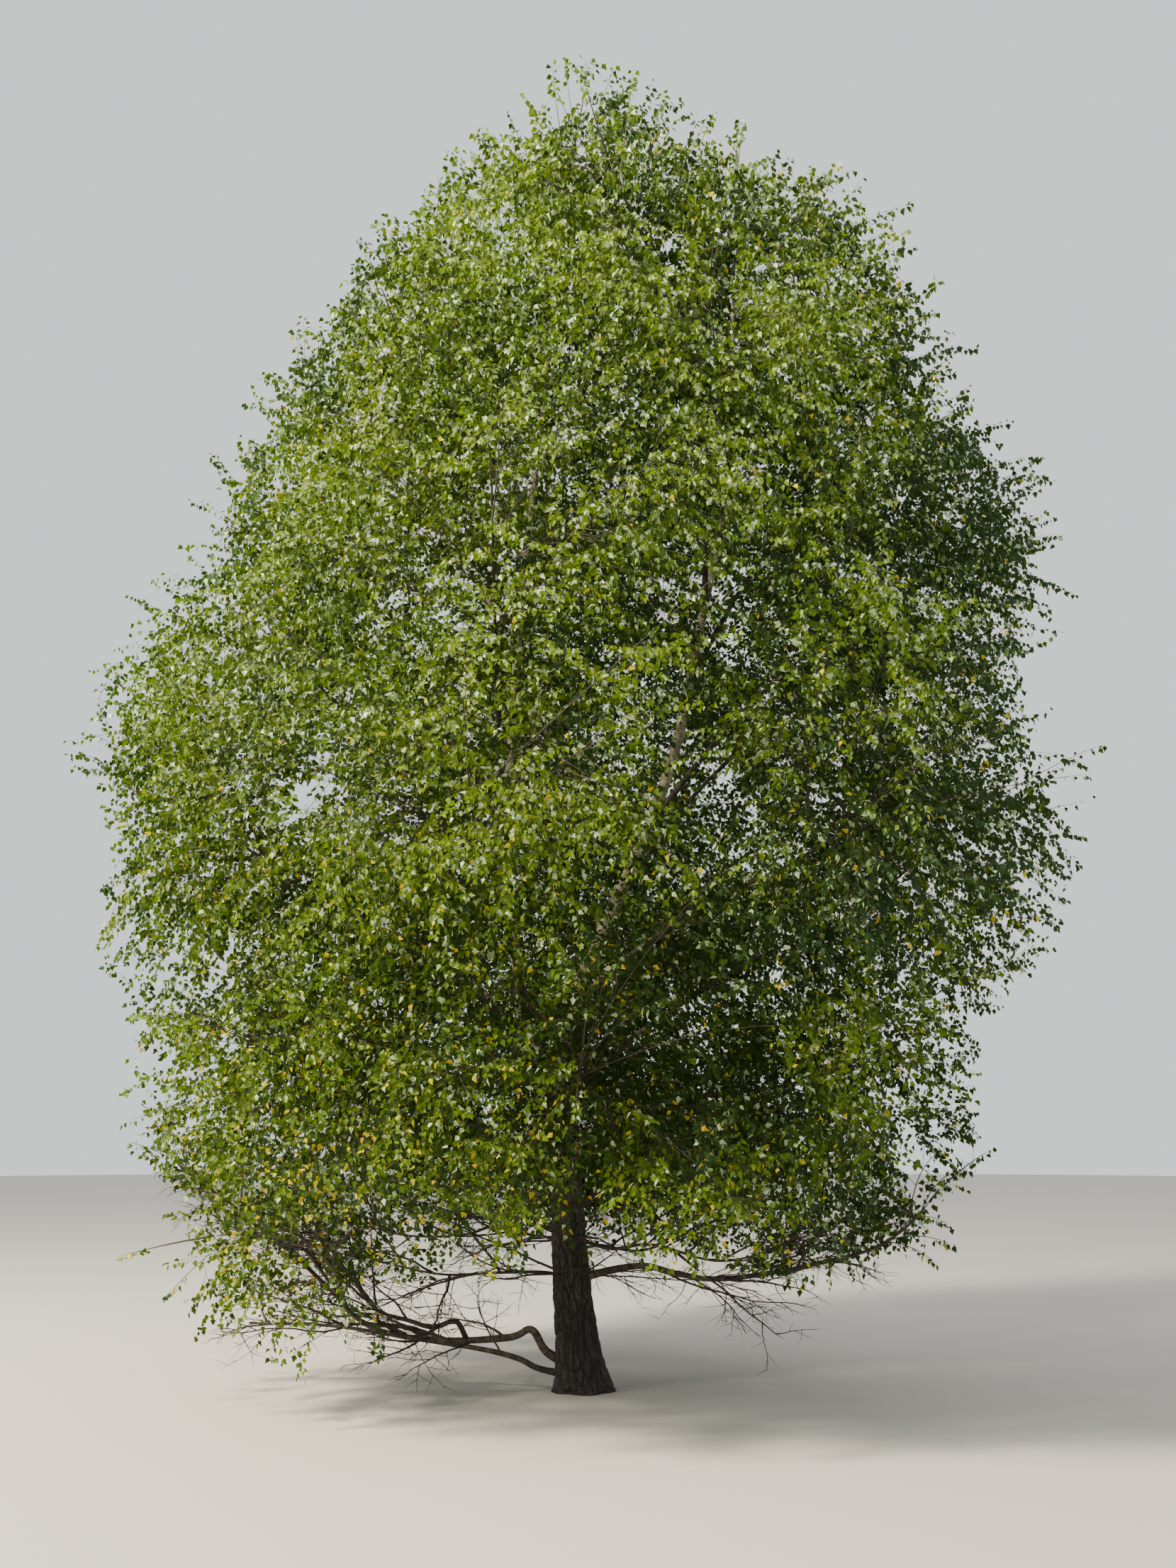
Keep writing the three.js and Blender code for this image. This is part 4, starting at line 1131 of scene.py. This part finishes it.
# The noise that bends the cracks, and how far it pushes them sideways.
CRACK_BEND = dict(cells=7, tall=0.09)
CRACK_SWAY = 0.8
# Finer plates: how many times as many they are round the limb and up it, and how deep their cracks are.
FINER_ROUND = 2
FINER_UP = 2.2
FINER_DEPTH = 0.65


def cracks(turn, height, seed):
    """Depth of cracks from 0 to 1: 1 at the borders of coarse upright plates, FINER_DEPTH at those of
    finer ones, and 0 on the plates. A noise bends both."""
    bend = ripple(turn, height, **CRACK_BEND, seed=seed + 3)
    u, v = turn * CRACK_CELLS, height / PLATE_HEIGHT
    coarse = plate_gaps(u + CRACK_SWAY * bend, v + bend, CRACK_CELLS, seed)
    fine = plate_gaps(u * FINER_ROUND + bend, v * FINER_UP, CRACK_CELLS * FINER_ROUND, seed + 9)
    wide, narrow = (1 - smooth_step(*CRACK_WIDTH, gap) for gap in (coarse, fine))
    return np.maximum(wide, FINER_DEPTH * narrow)


print("the trunk's plates are", round(1000 * TURN * TRUNK_FOOT / CRACK_CELLS), "mm wide low down and",
      round(1000 * PLATE_HEIGHT), "mm high")

# %% A closed skin over the rings of a limb
def grid_skin(middles, first, second, radius):
    """A skin over rings, with radius (rings, sides). Both ends are closed on the middles of their rings."""
    rings, sides = radius.shape
    points = ring_points(middles, first, second, radius, sides)
    points = np.concatenate([points.reshape(-1, 3), middles[:1], middles[-1:]])
    foot = fan(0, sides, rings * sides)[:, [1, 0, 2]]
    top = fan((rings - 1) * sides, sides, rings * sides + 1)
    return points, np.concatenate([wall_triangles(rings, sides), foot, top])


def for_points(grid):
    """Values on the rings as values for the points of grid_skin, its two end points too."""
    flat = grid.reshape(-1, *grid.shape[2:])
    return np.concatenate([flat, grid[:1, 0], grid[-1:, 0]])


def unrolled(turn, height, radius):
    """The places that the bark's pattern reads: on an upright pipe of one radius."""
    return np.stack([radius * np.cos(TURN * turn), radius * np.sin(TURN * turn), height], axis=2)


# %% The trunk's plain shape
TRUNK_SIDES = 264
TRUNK_RINGS = 220
# Rings lie closer together near the foot.
RING_CROWDING = 1.15
FLARE = 0.055
FLARE_HEIGHT = 0.17
BUTTRESSES = 5
BUTTRESS_DEPTH = 0.35
BUTTRESS_TURN = 0.6
rise = np.linspace(0, 1, TRUNK_RINGS) ** RING_CROWDING
middle = np.stack([np.interp(rise, np.linspace(0, 1, DENSE), TRUNK_PATH[:, k]) for k in range(3)], axis=1)
turn, height = np.meshgrid(np.arange(TRUNK_SIDES) / TRUNK_SIDES, middle[:, 2])
lobes = 1 + BUTTRESS_DEPTH * np.cos(BUTTRESSES * TURN * turn + BUTTRESS_TURN)
plain = between(TRUNK_FOOT, TRUNK_TIP, rise)[:, None] + FLARE * np.exp(-height / FLARE_HEIGHT) * lobes
print("the trunk is", (2 * plain[0].max()).round(2), "m wide at its foot")

# %% The trunk's relief
# Cork ends between these heights, at an edge that noise sways.
CORK_HEIGHTS = (0.5, 1.9)
CORK_EDGE = dict(cells=6, tall=0.2, seed=5)
CORK_SWAY = 0.5
CRACK_DEPTH = 0.013
# Even smooth bark has cracks of this share.
LEAST_CRACKS = 0.12
# Lumps, rings, flakes and smaller flakes: their noise, and their depth on smooth bark and on cork.
TRUNK_LAYERS = (
    (dict(cells=9, tall=0.12, seed=21), 0.004, 0.010),
    (dict(cells=3, tall=0.012, seed=33), 0.0012, 0.0012),
    (dict(cells=60, tall=0.022, seed=41), 0.000675, 0.0045),
    (dict(cells=31, tall=0.05, seed=43), 0.000675, 0.0045),
)
DOME_START = FORK_HEIGHT - 0.06
DOME_HEIGHT = 0.075
DOME_LEAST = 0.02
PIPE_RADIUS = 0.12
cork = 1 - smooth_step(*CORK_HEIGHTS, height + CORK_SWAY * ripple(turn, height, **CORK_EDGE))
crack = cracks(turn, height, seed=1) * np.clip(cork + LEAST_CRACKS, 0, 1)
radius = plain - CRACK_DEPTH * crack
for layer, smooth_depth, cork_depth in TRUNK_LAYERS:
    radius += between(smooth_depth, cork_depth, cork) * ripple(turn, height, **layer)
# The top closes over the feet of the leaders, in a dome.
radius *= np.sqrt(np.clip(1 - ((height - DOME_START) / DOME_HEIGHT).clip(0) ** 2, DOME_LEAST, 1))
level = np.tile(np.eye(3)[:2, None], (1, TRUNK_RINGS, 1))
trunk = put_piece("trunk_bark", *grid_skin(middle, *level, radius), trunk_bark, cork=for_points(cork),
                  place=for_points(unrolled(turn, height, PIPE_RADIUS)), crack=for_points(crack))
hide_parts("trunk")

# %% [markdown]
# ## Bark of leaders and boughs
#
# The limbs above the fork are younger: smooth, paler, a little lumpy, and swollen where each one
# leaves its carrier. One function skins any limb. A ring of points follows its path every few
# centimetres, and the same noise gives it lumps, faint rings and shallow cracks.

# %% A skin for any limb
LIMB_TAPER = 0.85
# A limb is half as thick again at its foot, and the swelling dies away along it.
SWELLING = 0.5
SWELLING_LENGTH = 0.11
FEWEST_RINGS = 8
# Lumps and rings: their noise, and their depth as a share of the radius.
LIMB_LAYERS = ((dict(cells=4, tall=0.09), 0, 0.10), (dict(cells=3, tall=0.025), 5, 0.04))
# Cracks of cork and of smooth bark, and their depth on a limb of 80 mm.
LIMB_CRACKS = (0.04, 0.8)
LIMB_CRACK_DEPTH = 0.006 / 0.08
CORK_START = 0.3


def limb_skin(limb, sides, step, seed, cork_length):
    """The skin of one limb with its values for the bark: radius = foot + (tip - foot) * share^LIMB_TAPER,
    swollen at the foot, with lumps, rings and cracks. It ends in a closed tip."""
    length = np.linalg.norm(np.diff(limb["path"], axis=0), axis=1).sum()
    rings = max(int(length / step), FEWEST_RINGS)
    path = evenly(limb["path"], rings)
    share = np.linspace(0, 1, rings)
    plain = between(limb["foot"], limb["tip"], share**LIMB_TAPER)
    plain = (plain * (1 + SWELLING * np.exp(-share * length / SWELLING_LENGTH)))[:, None]
    turn, far = np.meshgrid(np.arange(sides) / sides, share * length)
    relief = sum(depth * ripple(turn, far, **layer, seed=seed + more) for layer, more, depth in LIMB_LAYERS)
    cork = 1 - smooth_step(CORK_START * cork_length, cork_length + 0.001, far)
    crack = cracks(turn, far, seed + 50) * np.clip(cork * LIMB_CRACKS[1], *LIMB_CRACKS)
    radius = plain * (1 + relief) - LIMB_CRACK_DEPTH * crack * plain
    skin = grid_skin(path, *side_frames(unit(np.gradient(path, axis=0)), path[-1] - path[0]), radius)
    place = unrolled(turn, far + seed, limb["foot"])
    return (*skin, for_points(place), for_points(cork), for_points(crack))


def put_limbs(name, limbs, material, sides, step, cork_length=0.0):
    """Several limbs as one piece."""
    skins = [limb_skin(limb, sides, step, 13.0 * k, cork_length) for k, limb in enumerate(limbs)]
    place, cork, crack = (np.concatenate([skin[k] for skin in skins]) for k in (2, 3, 4))
    mesh = joined(*[skin[:2] for skin in skins])
    return put_piece(name, *mesh, material, place=place, cork=cork, crack=crack)


leader_piece = put_limbs("leaders_bark", LEADERS.values(), leader_bark, sides=36, step=0.012,
                         cork_length=0.5)
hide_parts("leader_right", "leader_left")
bough_piece = put_limbs("boughs_bark", boughs.values(), bough_bark, sides=16, step=0.02)
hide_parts(*boughs)

# %% [markdown]
# ## Bare twigs under the crown
#
# Below the leaves, shade has killed the finest growth. Crooked branches rise from the low boughs,
# others stand out from the trunk just under the crown, and all carry bare twigs down to the
# thinnest. Each one is a walk: at every step its heading turns a little by chance, and the turns
# add up, which gives the kinks that smooth curves don't have.

# %% Crooked paths
LOWEST_TWIG = 0.05
# What goes into a bare branch's aim, beside the lift: its carrier's heading, the way across and chance.
BARE_AIM = (0.8, 0.7, 1.0, 0.6)
BARE_TAPER = (1.0, 0.4)
BARE_VARIES = (0.55, 1.2)
BARE_SHUFFLE = 777
BARE_LAST = 0.97


def crooked(starts, aims, lengths, steps, wander, seed):
    """Paths of equal steps along headings unit(aim + wander * sum of the turns so far)."""
    turns = np.cumsum(jitter((len(starts), steps), seed), axis=1)
    headings = unit(aims[:, None] + wander * turns)
    walk = np.cumsum(headings * (lengths / steps)[:, None, None], axis=1)
    path = np.concatenate([starts[:, None], starts[:, None] + walk], axis=1)
    path[..., 2] = np.maximum(path[..., 2], LOWEST_TWIG)
    return path


def side_branches(carriers, count, first, longest, steps, wander, lift, seed):
    """Crooked branches in turn on either side of carriers, count on each, from a first share of the way
    on. They get shorter, and their aims are heading + across + lift upwards + chance."""
    deal, share, starts, headings, across, loose = in_turn(carriers, UP, count, first, BARE_LAST, seed)
    aims = blend(BARE_AIM, headings, across, lift * UP, loose)
    lengths = longest * between(*BARE_TAPER, share) * between(*BARE_VARIES, chance(BARE_SHUFFLE * deal))
    return crooked(starts.reshape(-1, 3), aims.reshape(-1, 3), lengths.ravel(), steps, wander, seed + 1)


# %% Bare limbs that the photo shows, under the crown
LOW_BRANCHES = [
    [(-0.76, -0.16, 0.345), (-0.82, -0.30, 0.47), (-0.96, -0.38, 0.44), (-1.11, -0.44, 0.49),
     (-1.27, -0.50, 0.54), (-1.37, -0.55, 0.63), (-1.46, -0.60, 0.77), (-1.58, -0.64, 0.92),
     (-1.70, -0.68, 1.06)],
    [(-0.08, -0.05, 0.70), (-0.24, -0.16, 0.76), (-0.57, -0.30, 0.77), (-0.91, -0.42, 0.77),
     (-1.30, -0.55, 0.86)],
    [(-0.98, -0.22, 0.345), (-1.14, -0.36, 0.44), (-1.37, -0.45, 0.47), (-1.49, -0.50, 0.56),
     (-1.58, -0.55, 0.70), (-1.67, -0.58, 0.82), (-1.79, -0.62, 0.96), (-2.00, -0.68, 1.05),
     (-2.18, -0.72, 1.19), (-2.36, -0.75, 1.36)],
    [(-0.09, -0.04, 1.02), (-0.52, 0.10, 1.06), (-0.79, 0.22, 0.98), (-1.03, 0.30, 0.96),
     (-1.29, 0.40, 0.97), (-1.62, 0.50, 1.05)],
    [(-0.05, -0.08, 0.98), (0.18, -0.30, 0.92), (0.45, -0.52, 0.96), (0.85, -0.80, 0.88),
     (1.25, -1.02, 0.98)],
    [(-0.08, 0.06, 0.86), (0.10, 0.32, 0.90), (0.42, 0.70, 0.84), (0.80, 1.05, 0.95), (1.05, 1.50, 1.02)],
    [(-0.12, 0.04, 0.92), (-0.30, 0.40, 0.96), (-0.48, 0.85, 0.90), (-0.60, 1.35, 1.00),
     (-0.90, 1.75, 1.08)],
]
LOW_FEET = (0.019, 0.012, 0.016, 0.013, 0.013, 0.012, 0.012)
LOW_TIP = 0.005
LOW_STEPS = 24
low_limbs = [boughs[f"bough_{name}"]["path"] for name in ("low_left", "low_right", "ground_left")]
low_paths = np.array([evenly(path, LOW_STEPS) for path in low_limbs])
bare_limbs = np.array([smooth_path(points, LOW_STEPS) for points in LOW_BRANCHES])
print(len(bare_limbs), "bare limbs beside the", len(low_paths), "low boughs")

# %% A ring of crooked branches out of the trunk
RING = 14
RING_PLAY = 0.7
RING_HEIGHTS = (0.62, 1.30)
RING_SLOPES = (-0.1, 0.25)
RING_LENGTHS = (0.7, 1.5)
deal = even_points(71, RING)
angle = TURN * (np.arange(RING) + RING_PLAY * deal[:, 0]) / RING
z = between(*RING_HEIGHTS, deal[:, 1])
starts = np.stack([np.interp(z, TRUNK_PATH[:, 2], TRUNK_PATH[:, 0]), 0 * z, z], axis=1)
aims = np.stack([np.cos(angle), np.sin(angle), between(*RING_SLOPES, deal[:, 2])], axis=1)
ring = crooked(starts, aims, between(*RING_LENGTHS, deal[:, 2]), steps=10, wander=0.15, seed=77)
print("they are", np.linalg.norm(ring[:, -1] - ring[:, 0], axis=1).mean().round(2), "m long on average")

# %% Branches on the low limbs, their twigs and the finest
RISING = dict(count=9, first=0.22, longest=1.25, steps=10, wander=0.17, lift=0.28, seed=501)
BARE_TWIGS = dict(count=8, first=0.2, longest=0.5, steps=5, wander=0.22, lift=0.0, seed=601)
FINEST = dict(count=4, first=0.25, longest=0.24, steps=2, wander=0.3, lift=-0.05, seed=701)
bare_branches = np.concatenate([ring, side_branches(np.concatenate([low_paths, bare_limbs]), **RISING)])
bare_twigs = side_branches(bare_branches, **BARE_TWIGS)
finest = side_branches(bare_twigs, **FINEST)
BARE_FEET = (0.006, 0.012)
bare_feet = between(*BARE_FEET, chance(np.arange(len(bare_branches))))
print(len(bare_branches), "bare branches,", len(bare_twigs), "twigs and", len(finest), "of the finest")


def bare_tubes(paths, feet, tip, sides):
    """Tubes along crooked paths, with one foot radius for all or one for each."""
    return tubes(paths, tapered(np.broadcast_to(feet, len(paths)), tip, paths.shape[1]), sides)


bare_piece = put_piece("bare_twigs", *joined(
    bare_tubes(bare_limbs, feet=LOW_FEET, tip=LOW_TIP, sides=8),
    bare_tubes(bare_branches, feet=bare_feet, tip=0.0028, sides=5),
    bare_tubes(bare_twigs, feet=0.0038, tip=0.0016, sides=3),
    bare_tubes(finest, feet=0.0021, tip=0.0010, sides=3),
), dead_bark)
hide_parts("leaves_low_left", "leaves_low_right")

# %% Stems and branches as one piece
branch_piece = put_piece("branches", *joined(
    tubes(stems, tapered(stem_feet, STEM_TIP, STEM_STEPS), sides=7),
    tubes(branches, tapered(branch_feet, BRANCH_TIP, BRANCH_STEPS), sides=5),
), branch_bark)
leaf_nodes = [f"leaves_{mass['name']}" for mass in masses]
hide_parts(*leaf_nodes)

# %% Fine twigs, in two pieces
TWIG_FOOT = 0.0013
TWIG_TIP = 0.0006
# Sprays to the left and to the right of this place go into separate pieces.
PARTING = 0.1
axis_radii = tapered(axis_feet, AXIS_TIP, SPRAY_STEPS)
twig_radii = tapered(np.full(len(twigs), TWIG_FOOT), TWIG_TIP, 3)
right = ends[:, 0] > PARTING
for name, sprays in (("twigs_left", ~right), ("twigs_right", right)):
    arched = sprays[twig_spray] & outer
    straight = sprays[twig_spray] & ~outer
    piece = put_piece(name, *joined(
        tubes(axes[sprays], axis_radii[sprays], sides=3),
        tubes(twigs[arched], twig_radii[arched], sides=3),
        tubes(twigs[straight][:, ::2], twig_radii[straight][:, ::2], sides=3),
    ), fine_bark)
    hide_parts(*leaf_nodes)

# %% [markdown]
# ## The leaves
#
# A birch leaf is a rounded triangle with a long point, on a thin stalk. Five triangles give its
# outline, a fold along the midrib and a tip that bends down. Further in, where no leaf is seen
# singly, two are enough. Their tints are dealt out by spray, and the greens paint light and shade on
# them: yellow-green where the sun falls, deep green inside and behind, where real shade leaves are
# also darker, and pale leaves for undersides and painted glints. Plain colours in separate pieces
# stay what they are in every export. Here and there one has turned yellow or gold, most of them low
# down at the front.

# %% The pattern of one leaf
LEAF_STALK = 0.38
STALK_HALF_WIDTH = 0.016
LEAF_HALF_WIDTH = 0.41
LEAF_SHOULDER = LEAF_STALK + 0.30
LEAF_MIDDLE = LEAF_STALK + 0.50
LEAF_TIP = LEAF_STALK + 1.0
LEAF_FOLD = 0.09
LEAF_SAG = 0.02
LEAF_DROOP = 0.10
# Across, along and off the face, in lengths of the blade: stalk, base, shoulders, midrib and tip.
LEAF_POINTS = np.array([
    (-STALK_HALF_WIDTH, 0, 0), (STALK_HALF_WIDTH, 0, 0), (0, LEAF_STALK, 0),
    (-LEAF_HALF_WIDTH, LEAF_SHOULDER, LEAF_FOLD), (LEAF_HALF_WIDTH, LEAF_SHOULDER, LEAF_FOLD),
    (0, LEAF_MIDDLE, -LEAF_SAG), (0, LEAF_TIP, -LEAF_DROOP),
])
LEAF_TRIANGLES = np.array([(0, 1, 2), (2, 4, 5), (4, 6, 5), (5, 6, 3), (2, 5, 3)])
# Inside the crown a leaf is two triangles, folded along the midrib, with half its stalk left out.
PLAIN_BASE = 0.20
PLAIN_SHOULDER = 0.58
PLAIN_POINTS = np.array([
    (0, PLAIN_BASE, 0), (-LEAF_HALF_WIDTH, PLAIN_SHOULDER, LEAF_FOLD),
    (LEAF_HALF_WIDTH, PLAIN_SHOULDER, LEAF_FOLD), (0, LEAF_TIP, -LEAF_DROOP),
])
PLAIN_TRIANGLES = np.array([(0, 2, 3), (0, 3, 1)])


def leaf_mesh(use, pattern, pattern_triangles):
    """Chosen leaves at once: point + size * (across * x + tip * y + face * z) for each pattern point."""
    tips = unit(leaf_tips[use])
    face = leaf_normals[use]
    face = unit(face - (face * tips).sum(axis=1, keepdims=True) * tips)
    frames = np.stack([np.cross(tips, face), tips, face], axis=1) * leaf_sizes[use, None, None]
    placed = leaf_points[use][:, None] + pattern @ frames
    triangles = pattern_triangles + (np.arange(len(use)) * len(pattern))[:, None, None]
    return placed.reshape(-1, 3), triangles.reshape(-1, 3)


leaf_width = 2 * LEAF_HALF_WIDTH * LEAF_LENGTH
print("a leaf of", round(1000 * LEAF_LENGTH), "mm is", round(1000 * leaf_width), "mm wide")

# %% How much painted light and shade each spray's greens get
SUN = unit(np.array([-0.70, -0.40, 0.58]))
# Light painted into the leaves' greens: how much there is in the open, how much more on the sun's side, in
# patches of this size, and by chance.
OPEN_LIGHT = 0.59
SUNNY_SIDE = 0.27
DAPPLE_LIGHT = 0.3
DAPPLE_SIZE = 1.3
# Painted light on the clumps of RELIEF, and painted shade in its hollows.
RELIEF_LIGHT = 0.26
CHANCE_LIGHT = 0.32
# Painted shade: what is left of it deep in the crown, where real shade leaves are also a darker green, and
# how much less there is low down.
DEEP_LIGHT = ((0.0, 1.0), (1.8, 0.45))
LOW_SHADE = ((1.6, 0.08), (3.6, 0.0))
# Painted shade: sprays on the rim get darker greens, because seen against the bright sky they look dark, on
# the left most.
RIM_DEPTHS = ((0.0, 1.0), (0.42, 0.0))
RIM_HEIGHTS = ((2.2, 0.0), (3.2, 1.0))
RIM_SHADE = ((-2.0, 0.34), (0.0, 0.12))
lit = OPEN_LIGHT + SUNNY_SIDE * (way_out(ends) @ SUN)
lit += DAPPLE_LIGHT * (noise(ends / DAPPLE_SIZE, seed=71) - 0.5) + RELIEF_LIGHT * relief_at(ends)
lit *= curve(DEEP_LIGHT, end_depth)
lit += CHANCE_LIGHT * (chance(numbers, seed=13) - 0.5) - curve(LOW_SHADE, ends_z)
rim = curve(RIM_DEPTHS, shown_depth(ends, THICK)) * curve(RIM_HEIGHTS, ends_z)
lit -= curve(RIM_SHADE, ends_x) * rim
print("sprays are lit from", lit.min().round(2), "to", lit.max().round(2))

# %% Deal a green to each spray
# Lime needs more painted light than the first of these, and green more than the second, so the greens show
# painted light and shade.
LIT = (0.72, 0.48)
# Bluish green paints the cool light of the sky and the shade: it is for the upper crown, which is nearer to
# the sky, and more for its right side, away from the lamp.
BLUISH_HEIGHTS = ((2.0, 0.04), (5.0, 0.45))
BLUISH_RIGHT = ((0.0, 0.0), (3.0, 0.3))
# Neighbours differ: this share of the leaves takes the next green on either side.
ODD_LEAVES = 0.18
BLUISH = 3
bluish_share = curve(BLUISH_HEIGHTS, ends_z) + curve(BLUISH_RIGHT, ends_x)
deep = chance(numbers, seed=19) > bluish_share
spray_tint = np.select([lit > LIT[0], lit > LIT[1], deep], [0, 1, 2], BLUISH)
leaf_numbers = np.arange(len(leaf_points))
neighbour = chance(leaf_numbers, seed=29)
step = (neighbour > 1 - ODD_LEAVES) * 1 - (neighbour < ODD_LEAVES)
tint = np.clip(spray_tint[leaf_spray] + step, 0, BLUISH)
tint_names = list(TINTS)
print("sprays of each green:", dict(zip(tint_names, np.bincount(spray_tint).tolist())))

# %% Pale leaves, for turned-over undersides and for painted glints, and leaves that have turned
PALE_SHARE = (0.09, 0.24)
PALE_HEIGHTS = ((1.5, 0.45), (4.5, 1.0), (7.6, 1.0), (9.0, 1.7))
# On the rim, fewer of them show, by this share.
RIM_PALE = 0.6
# A leaf that the wind has turned over shows its pale underside. The pale tint also paints glints of light
# off the waxy tops, so it is dealt most often in the painted light, and more near the top of the crown.
underside_and_glint_share = between(*PALE_SHARE, np.clip(lit, 0, 1)) * curve(PALE_HEIGHTS, ends_z) * (1 - RIM_PALE * rim)
over = chance(leaf_numbers, seed=31) < underside_and_glint_share[leaf_spray]
tint[over] = tint_names.index("pale")
# Autumn begins low down, at the front and on the left: the share of turned leaves elsewhere, and how
# much more there.
TURNED = 0.006
TURNED_LOW = 0.046
TURNED_HEIGHTS = ((1.3, 1.0), (3.9, 0.0))
TURNED_BACKWARDS = ((-1.2, 1.0), (1.8, 0.0))
TURNED_RIGHTWARDS = ((-1.75, 1.3), (2.1, 0.2))
GOLD_SHARE = 0.4
low_front = curve(TURNED_HEIGHTS, ends_z) * curve(TURNED_BACKWARDS, ends_y)
low_front *= curve(TURNED_RIGHTWARDS, ends_x)
turned = (TURNED + TURNED_LOW * low_front) * 2 * chance(numbers, seed=23)
turning = chance(leaf_numbers, seed=37) < turned[leaf_spray]
gold = chance(leaf_numbers, seed=41) < GOLD_SHARE
tint[turning] = np.where(gold, tint_names.index("gold"), tint_names.index("yellow"))[turning]
print({name: int((tint == k).sum()) for k, name in enumerate(tint_names)})

# %% Leaf pieces, one or more for each tint
LEAVES_IN_PIECE = 39000
# Leaves less deep than this have the finer pattern.
SINGLY_SEEN = 0.38
near = np.minimum(depth_at(leaf_points), leaf_points[:, 2] - floors[end_mass[leaf_spray]]) < SINGLY_SEEN
print(near.sum(), "leaves near the outline")
for k, name in enumerate(tint_names):
    chosen = np.flatnonzero(tint == k)
    chosen = chosen[np.argsort(leaf_points[chosen, 0], kind="stable")]
    parts = np.array_split(chosen, int(np.ceil(len(chosen) / LEAVES_IN_PIECE)))
    for number, part in enumerate(parts):
        mesh = joined(leaf_mesh(part[near[part]], LEAF_POINTS, LEAF_TRIANGLES),
                      leaf_mesh(part[~near[part]], PLAIN_POINTS, PLAIN_TRIANGLES))
        piece = put_piece(f"leaves_{name}_{number + 1}", *mesh, leaf_materials[name], smooth=False)
        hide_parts(*leaf_nodes)

# %% [markdown]
# ## Floor, light and camera
#
# The tree stands on a plain pale floor. A broad lamp high on the left, in front, does the work of
# the late sun, and an even pale surround fills the shade. The camera stands where the photo was
# taken: at eye height, eleven metres off, looking up a little.

# %% Floor and surround
# A round floor has the same far edge from every side.
FLOOR_RADIUS = 60.0
FLOOR_SIDES = 96
turn = TURN * np.arange(FLOOR_SIDES) / FLOOR_SIDES
floor_points = FLOOR_RADIUS * np.stack([np.cos(turn), np.sin(turn), 0 * turn], axis=1)
floor_mesh = bpy.data.meshes.new("floor")
floor_mesh.from_pydata(floor_points.tolist(), [], [tuple(range(FLOOR_SIDES))])
floor = bpy.data.objects.new("floor", floor_mesh)
bpy.context.collection.objects.link(floor)
paint, tree, out = new_material("pale_floor_paint")
shader = add(tree, "ShaderNodeBsdfPrincipled", {"Base Color": linear("bdb9b0"), "Roughness": 0.9})
tree.links.new(shader.outputs[0], out.inputs["Surface"])
floor_mesh.materials.append(paint)

world = bpy.data.worlds.new("studio")
bpy.context.scene.world = world
world.use_nodes = True
background = world.node_tree.nodes["Background"]
background.inputs["Color"].default_value = linear("e6e9ea")
background.inputs["Strength"].default_value = 1.25
print("the floor is", 2 * FLOOR_RADIUS, "m wide")

# %% Key lamp
LAMP_DISTANCE = 19.0
lamp = bpy.data.lights.new("key", "AREA")
lamp.size = 3.0
lamp.energy = 14000.0
lamp.color = linear("fff3dc")[:3]
key = bpy.data.objects.new("key", lamp)
key.location = Vector(CROWN_MIDDLE * UP + SUN * LAMP_DISTANCE)
key.rotation_euler = Vector(-SUN).to_track_quat("-Z", "Y").to_euler()
bpy.context.collection.objects.link(key)
print("the lamp hangs at", tuple(round(v, 1) for v in key.location))

# %% Camera
SENSOR = 36.0
LENS = 36.42
PITCH = np.radians(12.447)
view = bpy.data.cameras.new("view")
view.sensor_fit = "VERTICAL"
view.sensor_height = SENSOR
view.lens = LENS
view.clip_end = 200.0
camera = bpy.data.objects.new("view", view)
camera.location = EYE
camera.rotation_euler = (np.pi / 2 + PITCH, 0, 0)
bpy.context.collection.objects.link(camera)
bpy.context.scene.camera = camera
field = 2 * np.degrees(np.arctan(SENSOR / 2 / LENS))
print("the camera sees", round(field, 1), "degrees from top to bottom")
